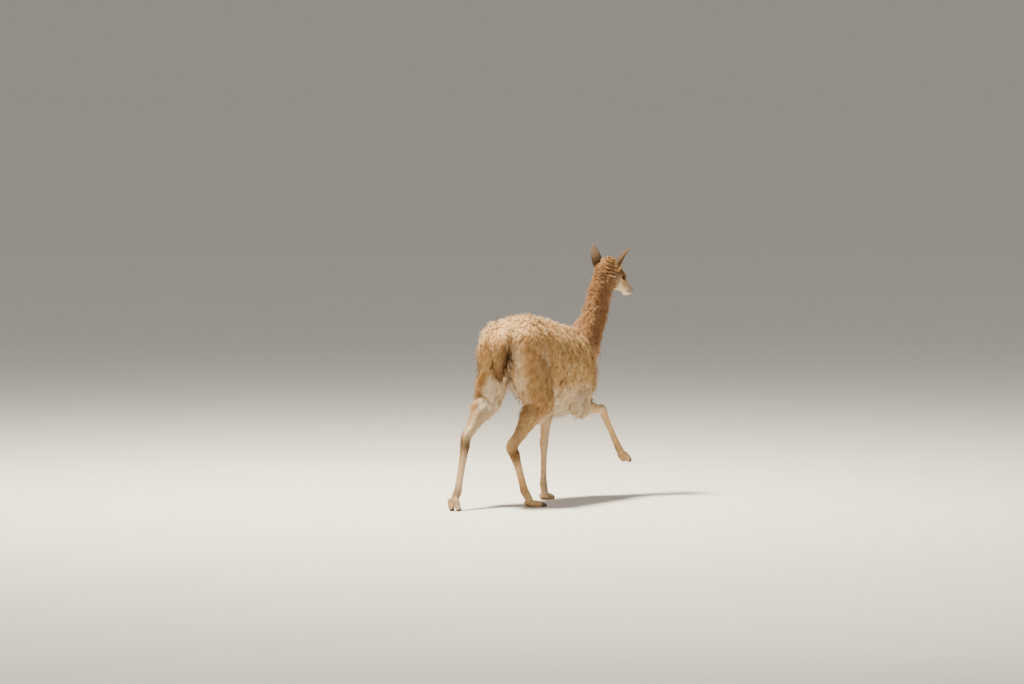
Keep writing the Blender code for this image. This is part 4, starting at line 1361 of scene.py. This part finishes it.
skin_tree = tree_of(skin)
long_roots, long_outs, long_coat = roots[is_long], root_outs[is_long], root_coat[is_long]
leader = leading(long_roots, long_coat[:, CLUMP])
long_coat[:, HEIGHT] *= chance.uniform(*LOCK_HEIGHT_RANGE, len(leader))[leader]
lock_shade = chance.random(len(leader))[leader]
root_shade[is_long] = LOCK_TINT * lock_shade + (1 - LOCK_TINT) * root_shade[is_long]
reach = root_lie[is_long] * long_coat[:, [LENGTH]]
heights = long_coat[:, HEIGHT]
middles = over_skin(skin_tree, long_roots + reach * MIDDLE_SHARE, heights * MIDDLE_HEIGHT)
tips = over_skin(skin_tree, long_roots + reach, heights)
hanging = (at_roots(regions["tail"])[is_long] > 0.5) & (long_roots[:, 2] < TAIL_END_LEVEL)
free_tips = long_roots + reach * TAIL_END_SHARE + long_outs * heights[:, None] * TAIL_END_RISE
tips[hanging] = free_tips[hanging]
middles[hanging] = (long_roots + tips)[hanging] / 2 + long_outs[hanging] * TAIL_MIDDLE_RISE
pulls = long_coat[:, PULL] * chance.uniform(*PULL_RANGE, len(tips))
moves = pulls[:, None] * (tips[leader] - tips)
tips += moves
middles += moves * MIDDLE_PULL
moved = float(np.linalg.norm(moves, axis=1).mean())
print("clumped", len(tips), "tufts, tips moved by", round(moved * 1000, 1), "mm")

# %% [markdown]
# Each tuft gets a small patch on a map of the skin. The map is the skin itself, unrolled: each line
# through the body gets a rectangle, the turn round the line gives the place across it, and the way
# along the line gives the place up it. Points on a rounded end, such as the rump, are let out by
# how far they have come in towards the line, which flattens the end too.

# %% Unroll the skin
MAP_MARGIN = 0.01
PATCH = 0.0015
SEAM_SIDE = (0.3, 1.0, 0.2)
SHEET_WIDTH = 1.35


def unrolled(places, line_of):
    """Each place's spot on the unrolled skin, in metres, before the rectangles are packed."""
    flat = np.zeros((len(places), 2))
    for i, (_, start, end, thickness) in enumerate(LINES):
        mine = line_of == i
        line = np.array(end - start)
        length = np.linalg.norm(line)
        line = line / length
        first = np.cross(line, SEAM_SIDE)
        first /= np.linalg.norm(first)
        second = np.cross(line, first)
        away = places[mine] - np.array(start)
        along = away @ line
        x, y = away @ first, away @ second
        inward = np.maximum(thickness - np.hypot(x, y), 0)
        flat[mine, 0] = (np.arctan2(y, x) / math.tau + 0.5) * math.tau * thickness
        flat[mine, 1] = along + np.where(along > length / 2, inward, -inward)
    return flat


def pack_rectangles(flat, line_of):
    """Puts the lines' rectangles on shelves, tallest first; returns each point's place, 0 to 1."""
    boxes = []
    for i in range(len(LINES)):
        mine = flat[line_of == i]
        if len(mine):
            boxes.append((i, mine.min(0), mine.max(0) - mine.min(0) + MAP_MARGIN))
    boxes.sort(key=lambda b: -b[2][1])
    wide = SHEET_WIDTH * math.sqrt(sum(b[2][0] * b[2][1] for b in boxes))
    corner = np.zeros(2)
    shelf = 0.0
    place = {}
    for i, low, size in boxes:
        if corner[0] + size[0] > wide:
            corner = np.array((0.0, corner[1] + shelf))
            shelf = 0.0
        place[i] = corner - low + MAP_MARGIN / 2
        corner = corner + (size[0], 0)
        shelf = max(shelf, size[1])
    places = np.array([place.get(i, (0, 0)) for i in range(len(LINES))])
    return (flat + places[line_of]) / max(wide, corner[1] + shelf)


root_map = pack_rectangles(unrolled(roots, root_line), root_line)
print("map reaches", root_map.min(0).round(3), "to", root_map.max(0).round(3))

# %% [markdown]
# A tuft is a thin closed blade with three sides. A long one is a spindle: a point sunk in the skin,
# a ring of three points in its middle, where it bends, and a tip, which makes six triangles. A
# short one is a root ring and a tip. Their shading normals lean towards the skin's own direction,
# which makes thousands of blades read as one soft surface.

# %% Build the tufts
LONG_FACES = np.array([(0, 2, 1), (0, 3, 2), (0, 1, 3), (1, 2, 4), (2, 3, 4), (3, 1, 4)])
SHORT_FACES = np.array([(0, 2, 1), (0, 1, 3), (1, 2, 3), (2, 0, 3)])
ROOT_SINK = 0.0012
TUFT_THICKNESS = 0.45
LONG_CROWN = 1.6
SHORT_CROWN = 1.4
SOFTNESS = 0.75
LONG_SHARES = np.array((0, 0.5, 0.5, 0.5, 1.0))
SHORT_SHARES = np.array((0, 0, 0, 1.0))


def ring(centre, wide, high, outward, half):
    """Three points across a tuft: left, right and top."""
    thick = outward * half[:, None] * TUFT_THICKNESS
    aside = wide * half[:, None]
    return [centre + aside - thick, centre - aside - thick, centre + thick * high]


def long_tufts(chosen):
    """Corner points of long tufts, five each, and the way out of the skin at their roots."""
    half = long_coat[chosen, HALF_WIDTH]
    out = long_outs[chosen]
    foot, middle, tip = long_roots[chosen] - out * ROOT_SINK, middles[chosen], tips[chosen]
    wide = unit(np.cross(tip - foot, out))
    return np.stack([foot, *ring(middle, wide, LONG_CROWN, out, half), tip], 1), out


def short_tufts(chosen):
    """Corner points of short tufts, four each, and the way out of the skin at their roots."""
    half = root_coat[chosen, HALF_WIDTH]
    out = root_outs[chosen]
    foot = roots[chosen] - out * ROOT_SINK * 0.5
    length, height = root_coat[chosen][:, [LENGTH]], root_coat[chosen][:, [HEIGHT]]
    tip = roots[chosen] + root_lie[chosen] * length + out * height
    wide = unit(np.cross(tip - foot, out))
    return np.stack([*ring(foot, wide, SHORT_CROWN, out, half), tip], 1), out


print("a long tuft has", len(LONG_FACES), "triangles, a short one", len(SHORT_FACES))

# %% [markdown]
# A finish is worked out as sums on colours and masks, so it is pleasant to write it as sums in
# Python. A small class wraps the output of a node and gives it plus, minus and times. Every other
# node comes from its one method, which takes the kind of node, its settings and what goes into its
# sockets.

# %% A small class for finishes
class Wire:
    """An output in a finish's node tree that Python's operators can work on."""

    def __init__(self, tree, socket=None):
        self.tree = tree
        self.socket = socket

    def node(self, kind, settings=None, inputs=None, output=0):
        """Adds a node of a kind, with its settings and the values or wires of its sockets."""
        made = self.tree.nodes.new(kind)
        for key, value in (settings or {}).items():
            setattr(made, key, value)
        self.fill(made, inputs or {})
        return Wire(self.tree, made.outputs[output])

    def fill(self, node, inputs):
        """Gives a node's sockets their values or wires."""
        for key, value in inputs.items():
            if isinstance(value, Wire):
                self.tree.links.new(value.socket, node.inputs[key])
            else:
                node.inputs[key].default_value = value

    def maths(self, operation, a, b, clamp=False):
        """A sum of two numbers or wires."""
        settings = {"operation": operation, "use_clamp": clamp}
        return self.node("ShaderNodeMath", settings, {0: a, 1: b})

    def __add__(self, other):
        return self.maths("ADD", self, other)

    def __sub__(self, other):
        return self.maths("SUBTRACT", self, other)

    def __rsub__(self, other):
        return self.maths("SUBTRACT", other, self)

    def __mul__(self, other):
        return self.maths("MULTIPLY", self, other)

    __radd__ = __add__
    __rmul__ = __mul__

    def within(self):
        """The value, held between 0 and 1."""
        return self.maths("ADD", self, 0.0, clamp=True)

    def mix(self, first, second, mask, blend="MIX"):
        """Two colours mixed by a mask, or the second laid over the first in another way."""
        settings = {"data_type": "RGBA", "blend_type": blend}
        return self.node("ShaderNodeMix", settings, {0: mask, 6: first, 7: second}, 2)

    def colour_to(self, other, mask):
        """This colour, mixed towards another by a mask."""
        return self.mix(self, other, mask)

    def tinted(self, other, mask):
        """This colour, multiplied by another where the mask is 1."""
        return self.mix(self, other, mask, "MULTIPLY")


def new_finish(name):
    """A new material and the first wire of its node tree."""
    material = bpy.data.materials.new(name)
    material.use_nodes = True
    return material, Wire(material.node_tree)


def set_surface(material, inputs):
    """Gives the sockets of a material's surface their values or wires."""
    Wire(material.node_tree).fill(material.node_tree.nodes["Principled BSDF"], inputs)
    return material


def rgb(r, g, b):
    """A colour with nothing see-through."""
    return (r, g, b, 1.0)


print("operators ready")

# %% [markdown]
# The coat's colour starts as golden tan. Cinnamon, white, brown and grey are laid over it by their
# markings, whose edges are broken up with noise, because wool has no hard edges. Tufts get painted
# shade that makes them darker at the root than at the tip, and no two are quite alike. The same sum
# colours the skin below, which also gets the painted shade of the coat over it.

# %% Coat and skin finishes
TAN = rgb(0.62, 0.35, 0.145)
CINNAMON = rgb(0.31, 0.165, 0.080)
CREAM = rgb(0.84, 0.69, 0.50)
BROWN = rgb(0.13, 0.062, 0.026)
GREY = rgb(0.070, 0.046, 0.031)
ASH = rgb(0.27, 0.24, 0.22)
# Dark bare skin; in the nostrils and along the mouth it is painted shade.
BARE = rgb(0.030, 0.022, 0.018)
# Painted shade: darkens the roots of the tufts and the skin under the coat.
PAINTED_ROOT_SHADE = rgb(0.62, 0.54, 0.46)
DARK_LOCK = rgb(0.66, 0.53, 0.42)
PALE_STRAW = rgb(0.84, 0.61, 0.31)
BROAD_SPOTS, FINE_SPOTS, SKIN_GRAIN = 9.0, 60.0, 420.0
STRAW_SHARE = 0.30
WHITE_MOTTLING, BROWN_MOTTLING = 3.0, 3.5


def marking(wire, name):
    """A marking's number at a point, read from the mesh."""
    return wire.node("ShaderNodeAttribute", {"attribute_name": name}, {}, "Fac")


def speckle(wire, scale, detail):
    """Soft noise round 0, at a number of spots to the metre."""
    place = wire.node("ShaderNodeTexCoord", {}, {}, "Object")
    inputs = {"Vector": place, "Scale": scale, "Detail": detail}
    return wire.node("ShaderNodeTexNoise", {}, inputs, "Fac") - 0.5


def grain(wire, height, strength, distance):
    """A fine relief for the Normal socket."""
    inputs = {"Strength": strength, "Distance": distance, "Height": height}
    return wire.node("ShaderNodeBump", {}, inputs)


def broken(mask, noise_there):
    """A marking whose edge is broken up by noise; where it is 0 or 1 it stays so."""
    return (mask + mask * (1.0 - mask) * noise_there).within()


def coat_colour(wire):
    """The animal's colour at a point, from its markings."""
    broad = speckle(wire, BROAD_SPOTS, 3.0)
    fine = speckle(wire, FINE_SPOTS, 2.0)
    colour = wire.mix(TAN, PALE_STRAW, (STRAW_SHARE + broad + fine * 1.2).within())
    colour = colour.colour_to(CINNAMON, (marking(wire, "rust") * (1.0 + fine * 0.8)).within())
    mottled_white = broken(marking(wire, "cream"), (broad + fine) * WHITE_MOTTLING)
    # The brown marking also holds the painted shade of the nape's furrows.
    mottled_brown = broken(marking(wire, "brown"), fine * BROWN_MOTTLING)
    colour = colour.colour_to(CREAM, mottled_white).colour_to(BROWN, mottled_brown)
    for flat_colour, name in ((GREY, "grey"), (ASH, "ash"), (BARE, "bare")):
        colour = colour.colour_to(flat_colour, marking(wire, name))
    return colour


def coat_finish():
    """Wool, darkened at the root as painted shade; each lock has its own tint, dark to pale straw.
    """
    material, wire = new_finish("vicuna_wool")
    tip, shade = marking(wire, "tip"), marking(wire, "shade")
    # Painted shade: each tuft is darkened towards its root.
    colour = coat_colour(wire).tinted(PAINTED_ROOT_SHADE, (1.0 - tip * 1.6).within())
    colour = colour.tinted(DARK_LOCK, (shade * 2.2 - 0.9).within())
    plain = 1.0 - 0.6 * marking(wire, "rust")
    for name in ("cream", "grey", "ash"):
        plain = plain * (1.0 - marking(wire, name))
    colour = colour.colour_to(PALE_STRAW, ((0.34 - shade) * 1.3).within() * plain)
    return set_surface(
        material, {"Base Color": colour, "Roughness": 0.85, "Specular IOR Level": 0.08}
    )


def skin_finish():
    """Skin under the coat: darker by the coat's painted shade, and smoother where it is bare."""
    material, wire = new_finish("vicuna_skin")
    bare = marking(wire, "bare")
    # Painted shade: the skin is darkened wherever the coat covers it.
    return set_surface(
        material,
        {
            "Base Color": coat_colour(wire).tinted(PAINTED_ROOT_SHADE, 0.45 * (1.0 - bare)),
            "Roughness": 0.85 - bare * 0.45,
            "Specular IOR Level": 0.25,
            "Normal": grain(wire, speckle(wire, SKIN_GRAIN, 3.0), 0.35, 0.001),
        },
    )


wool = coat_finish()
hide = skin_finish()
print("finishes:", wool.name, hide.name)

# %% [markdown]
# Now the tufts become meshes. A piece holds at most a set number of tufts, so that none grows too
# large to handle. Every corner of a tuft gets its root's markings, its share of the way to the tip,
# a shade of its own and its patch on the unrolled skin.

# %% Make the coat's pieces
FLOOR_CLEAR = 0.0005
MOST_LONG = 32000
MOST_SHORT = 48000
GROUPS = {
    # name: its regions and a solid part
    "body": (("fleece", "thigh", "shoulder"), "torso"),
    "neck": (("neck", "nape", "crown"), "neck"),
    "tail": (("tail",), "tail"),
    "legs": (("gaskin", "forearm", "cannon", "pastern", "toe"), "leg_hind_right_shank"),
    "head": (("face", "muzzle", "ear"), "head"),
}


def write_values(mesh, name, values):
    """Keeps a number for each point of a mesh under a name, where a finish can read it."""
    mesh.attributes.new(name, "FLOAT", "POINT").data.foreach_set("value", values.astype(np.float32))


def blade_piece(name, corners, outward, faces, tip_shares, rows, slot):
    """A mesh of many blades: corners is blades x points x 3, rows tells each blade's root."""
    blades, each = corners.shape[:2]
    corners[..., 2] = np.maximum(corners[..., 2], FLOOR_CLEAR)
    indices = (faces[None] + (np.arange(blades) * each)[:, None, None]).reshape(-1, 3)
    mesh = bpy.data.meshes.new(name)
    mesh.vertices.add(blades * each)
    mesh.vertices.foreach_set("co", corners.reshape(-1))
    mesh.loops.add(indices.size)
    mesh.loops.foreach_set("vertex_index", indices.reshape(-1))
    mesh.polygons.add(len(indices))
    mesh.polygons.foreach_set("loop_start", np.arange(len(indices)) * 3)
    mesh.polygons.foreach_set("use_smooth", np.ones(len(indices), bool))
    mesh.update(calc_edges=True)
    centre = corners.mean(1, keepdims=True)
    normals = unit((corners - centre).reshape(-1, 3)) * (1 - SOFTNESS)
    normals = unit(normals + np.repeat(outward, each, 0) * SOFTNESS)
    mesh.normals_split_custom_set_from_vertices(normals.tolist())
    for mark, values in root_marks.items():
        write_values(mesh, mark, np.repeat(values[rows], each))
    write_values(mesh, "tip", np.tile(tip_shares, blades))
    write_values(mesh, "shade", np.repeat(root_shade[rows], each))
    patch = np.stack([np.linspace(-PATCH, PATCH, each), (tip_shares * 2 - 1) * PATCH], 1)
    spots = (root_map[rows][:, None] + patch[None]).reshape(-1, 2)
    layer = mesh.uv_layers.new(name="OFBake")
    layer.data.foreach_set("uv", np.clip(spots, 0, 1)[indices.reshape(-1)].reshape(-1))
    mesh.materials.append(wool)
    piece = add_object(name, mesh)
    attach(piece, "root")
    return piece


def slices(chosen, most):
    """A list of roots, from nose to tail, in runs of at most so many."""
    chosen = chosen[np.argsort(roots[chosen, 1], kind="stable")]
    return np.array_split(chosen, max(1, math.ceil(len(chosen) / most)))


KINDS = {
    # name: which roots, most tufts in a piece, faces and shares of the way to the tip
    "wool": (is_long, MOST_LONG, LONG_FACES, LONG_SHARES),
    "fur": (~is_long, MOST_SHORT, SHORT_FACES, SHORT_SHARES),
}
root_regions = line_regions[root_line]
long_index = np.cumsum(is_long) - 1
total = 0
for group, (names, slot) in GROUPS.items():
    for kind, (which, most, faces, tip_shares) in KINDS.items():
        chosen = np.flatnonzero(np.isin(root_regions, names) & which)
        if len(chosen) == 0:
            continue
        for number, rows in enumerate(slices(chosen, most), 1):
            made = long_tufts(long_index[rows]) if kind == "wool" else short_tufts(rows)
            name = f"{kind}_{group}_{number}"
            piece = blade_piece(name, *made, faces, tip_shares, rows, slot)
            total += len(piece.data.polygons)
            print(piece.name, len(rows), "tufts,", len(piece.data.polygons), "triangles")
print("coat:", total, "triangles")

# %% [markdown]
# The skin shows between the tufts and on the bare places. It carries the same markings as the coat,
# and it takes the place of all solid parts but the eyes and the nails.

# %% The skin takes its finish
def dress(obj, material):
    """Gives an object one finish and shades its faces as one smooth surface."""
    obj.data.materials.clear()
    obj.data.materials.append(material)
    obj.data.polygons.foreach_set("use_smooth", [True] * len(obj.data.polygons))


for mark, values in MARKINGS.items():
    write_values(skin.data, mark, values)
dress(skin, hide)
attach(skin, "root")
FLESH = [name for name in frame["nodes"] if not name.startswith(("eye", "nail"))]
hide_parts(*FLESH)
print("the skin stands for", len(FLESH), "solid parts")

# %% [markdown]
# The eyes are what a visitor looks for first. A vicuna's eye is large, dark and wet, with a wide
# level pupil that hardly shows against a deep brown iris. A ball with a fine mesh takes the place
# of the coarse solid one, in the same socket, and a clear coat gives it the bright spot of the
# light.

# %% Eyes
PUPIL = (0.0062, 0.0034)
PUPIL_EDGE = (1.15, 0.85)
IRIS_RIM = (0.0088, 0.0104)
IRIS_BROWN = rgb(0.045, 0.020, 0.009)
PUPIL_BLACK = rgb(0.004, 0.003, 0.003)
RIM_BLACK = rgb(0.010, 0.007, 0.006)


def eye_finish():
    """A dark wet eye: the ball itself is dull, and the clear coat over it shines."""
    material, wire = new_finish("dark_wet_eye")
    iris = wire.mix(IRIS_BROWN, PUPIL_BLACK, marking(wire, "pupil"))
    return set_surface(
        material,
        {
            "Base Color": iris.colour_to(RIM_BLACK, marking(wire, "rim")),
            "Roughness": 0.25,
            "Specular IOR Level": 0.0,
            "Coat IOR": 1.4,
            "Coat Weight": 0.25,
            "Coat Roughness": 0.03,
        },
    )


eye_material = eye_finish()
for outward, label in SIDES.items():
    eye_bm = bmesh.new()
    axes = eye_axes(outward)
    add_ball(eye_bm, eye_centre(outward), (EYE_RADIUS,) * 3, axes, 64, 40)
    eye = to_object(f"eye_shown_{label}", eye_bm)
    eye_points = np.array([v.co for v in eye.data.vertices]) - np.array(eye_centre(outward))
    level, height = eye_points @ np.array(axes[1]), eye_points @ np.array(axes[2])
    from_pupil = np.hypot(level / PUPIL[0], height / PUPIL[1])
    write_values(eye.data, "pupil", smooth(*PUPIL_EDGE, from_pupil))
    write_values(eye.data, "rim", smooth(*IRIS_RIM, np.hypot(level, height)))
    dress(eye, eye_material)
    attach(eye, "root")
    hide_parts(f"eye_{label}")
print("eyes", EYE_RADIUS * 2000, "mm across")

# %% [markdown]
# Long lashes shade the eyes from the hard mountain light. Each is a thin curved roll that starts on
# the rim of the upper lid and sweeps out and down.

# %% Lashes
LASHES = 21
LASH_LENGTH = 0.013
LASH_RADIUS = 0.00035
LASH_RIM = (0.0150, 0.0104)
LASH_DEPTH = 0.62
LASH_STEPS = (0, 0.35, 0.7, 1.0)
LASH_RISE = 0.35
LASH_BEND = 1.4
FIRST_LASH, LASH_ARC = 18, 144
lash_material = set_surface(
    new_finish("dark_lash")[0], {"Base Color": rgb(0.02, 0.014, 0.010), "Roughness": 0.5}
)


def lash_path(outward, turn):
    """Points along one lash, whose place on the rim is given as a turn round the eye."""
    out, along, above = eye_axes(outward)
    rim = along * math.cos(turn) * LASH_RIM[0] + above * math.sin(turn) * LASH_RIM[1]
    start = eye_centre(outward) + rim + out * (EYE_RADIUS * LASH_DEPTH)
    fan = (along * math.cos(turn) * 0.5 + out).normalized()
    reach = LASH_LENGTH * (0.70 + 0.25 * math.sin(turn) + 0.2 * chance.random())
    rise = above * reach * LASH_RISE
    return [start + fan * reach * t + rise * (t - t * t * LASH_BEND) for t in LASH_STEPS]


for outward, label in SIDES.items():
    lash_bm = bmesh.new()
    for k in range(LASHES):
        turn = math.radians(FIRST_LASH + LASH_ARC * k / (LASHES - 1))
        add_tube(lash_bm, lash_path(outward, turn), LASH_RADIUS, 5, 0.3)
    lashes = to_object(f"lashes_{label}", lash_bm)
    lashes.data.materials.append(lash_material)
    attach(lashes, "root")
print("lashes:", LASHES, "on each side")

# %% [markdown]
# A vicuna's nails are dark horn, longer than deep, with a ridge along the top and a blunt hooked
# end. Each is a short tube of its own over the end of the toe, flat where it meets the floor.

# %% Nails
HORN_STREAKS = 240.0
HORN_DARK = rgb(0.040, 0.030, 0.024)
HORN_PALE = rgb(0.13, 0.10, 0.075)
NAIL = (
    # share of the toe's length, half side, half top, half sole
    (0.68, 0.0120, 0.0135, 0.0150),
    (0.74, 0.0128, 0.0143, 0.0165),
    (0.86, 0.0118, 0.0125, 0.0150),
    (1.00, 0.0088, 0.0088, 0.0112),
    (1.12, 0.0040, 0.0042, 0.0060),
)


def nail_finish():
    """Dark horn with paler streaks."""
    material, wire = new_finish("dark_horn")
    streaks = speckle(wire, HORN_STREAKS, 4.0)
    return set_surface(
        material,
        {
            "Base Color": wire.mix(HORN_DARK, HORN_PALE, (0.5 + streaks * 1.6).within()),
            "Roughness": 0.45,
            "Normal": grain(wire, streaks, 0.3, 0.0006),
        },
    )


horn = nail_finish()
for name in LEG_JOINTS:
    for which, label in SIDES.items():
        start, end = toe_line(name, which)
        nail_bm = bmesh.new()
        stations = [(between(start, end, share), *halves) for share, *halves in NAIL]
        add_loft(nail_bm, stations, leg_side(name))
        nail = to_object(f"horn_{name}_{label}", nail_bm)
        if min(v.co.z for v in nail.data.vertices) < 0:
            trim(nail, Vector((0, 0, 0)), -UP)
        dress(nail, horn)
        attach(nail, "root")
        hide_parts(f"nail_{name}_{label}")
print("nails:", 2 * len(LEG_JOINTS))

# %% [markdown]
# The model stands on a plain pale floor that rises far away into a round backdrop, so that no edge
# shows from any side.

# %% Floor
FLOOR_RINGS = (
    # radius, height
    (0, 0),
    (20, 0),
    (60, 0),
    (80, 3),
    (95, 12),
    (100, 26),
)
FLOOR_SIDES = 64


def floor_finish():
    """A pale floor with soft clouds of tone."""
    material, wire = new_finish("pale_floor")
    cloud = (0.5 + speckle(wire, 3.0, 4.0)).within()
    tone = wire.mix(rgb(0.70, 0.65, 0.57), rgb(0.75, 0.70, 0.62), cloud)
    return set_surface(material, {"Base Color": tone, "Roughness": 0.9})


def add_floor():
    """Rings of faces round a middle point, level near the animal and rising far from it."""
    bm = bmesh.new()
    rows = []
    for radius, height in FLOOR_RINGS:
        rows.append([])
        for k in range(FLOOR_SIDES if radius else 1):
            turn = math.tau * k / FLOOR_SIDES
            place = (radius * math.cos(turn), radius * math.sin(turn), height)
            rows[-1].append(bm.verts.new(place))
    for k in range(FLOOR_SIDES):
        n = (k + 1) % FLOOR_SIDES
        bm.faces.new((rows[0][0], rows[1][k], rows[1][n]))
        for low, high in zip(rows[1:], rows[2:]):
            bm.faces.new((low[k], high[k], high[n], low[n]))
    mesh = bpy.data.meshes.new("floor")
    bm.to_mesh(mesh)
    bm.free()
    floor = add_object("floor", mesh)
    dress(floor, floor_finish())
    floor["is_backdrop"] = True
    return floor


floor = add_floor()
print("floor:", len(floor.data.polygons), "faces")

# %% [markdown]
# A warm lamp hangs almost straight above the animal, as the sun stands high over the mountains, and
# a weak cool one fills the shadows from the visitor's side. Too strong a light would wash out the
# colours of the coat, so much of the brightness comes from the pale sky all round.

# %% Light
MIDDLE = Vector((0, 0, 0.7))
LAMPS = {
    # name: place, width, power in watts, colour
    "key": ((1.2, 0.7, 6.4), 1.0, 1950, (1.0, 0.93, 0.76)),
    "fill": ((-4.5, 4.5, 3.0), 3.0, 60, (0.96, 0.97, 1.0)),
}
SKY = rgb(0.98, 0.97, 0.96)
SKY_STRENGTH = 0.46


def add_lamp(name, place, width, power, colour):
    """A round lamp that faces the middle of the animal."""
    data = bpy.data.lights.new(name, "AREA")
    data.shape = "DISK"
    data.size = width
    data.energy = power
    data.color = colour
    lamp = add_object(name, data)
    lamp.location = place
    face_along(lamp, MIDDLE - Vector(place))


def add_sky():
    """An even pale sky, which lights the model from all sides."""
    world = bpy.data.worlds.new("studio")
    world.use_nodes = True
    background = world.node_tree.nodes["Background"]
    background.inputs["Color"].default_value = SKY
    background.inputs["Strength"].default_value = SKY_STRENGTH
    bpy.context.scene.world = world


for name, settings in LAMPS.items():
    add_lamp(name, *settings)
add_sky()
print("lamps:", ", ".join(LAMPS))

# %% [markdown]
# The last cell keeps two boxes, that of the solid parts and that of everything shown, and prints
# how far the second reaches past the first at its lowest and highest corners.

# %% Keep the sizes and finish
shown_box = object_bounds()
for corner, solid, shown in zip(("lowest", "highest"), solid_box, shown_box):
    print(corner, [round(b - a, 4) for a, b in zip(solid, shown)])
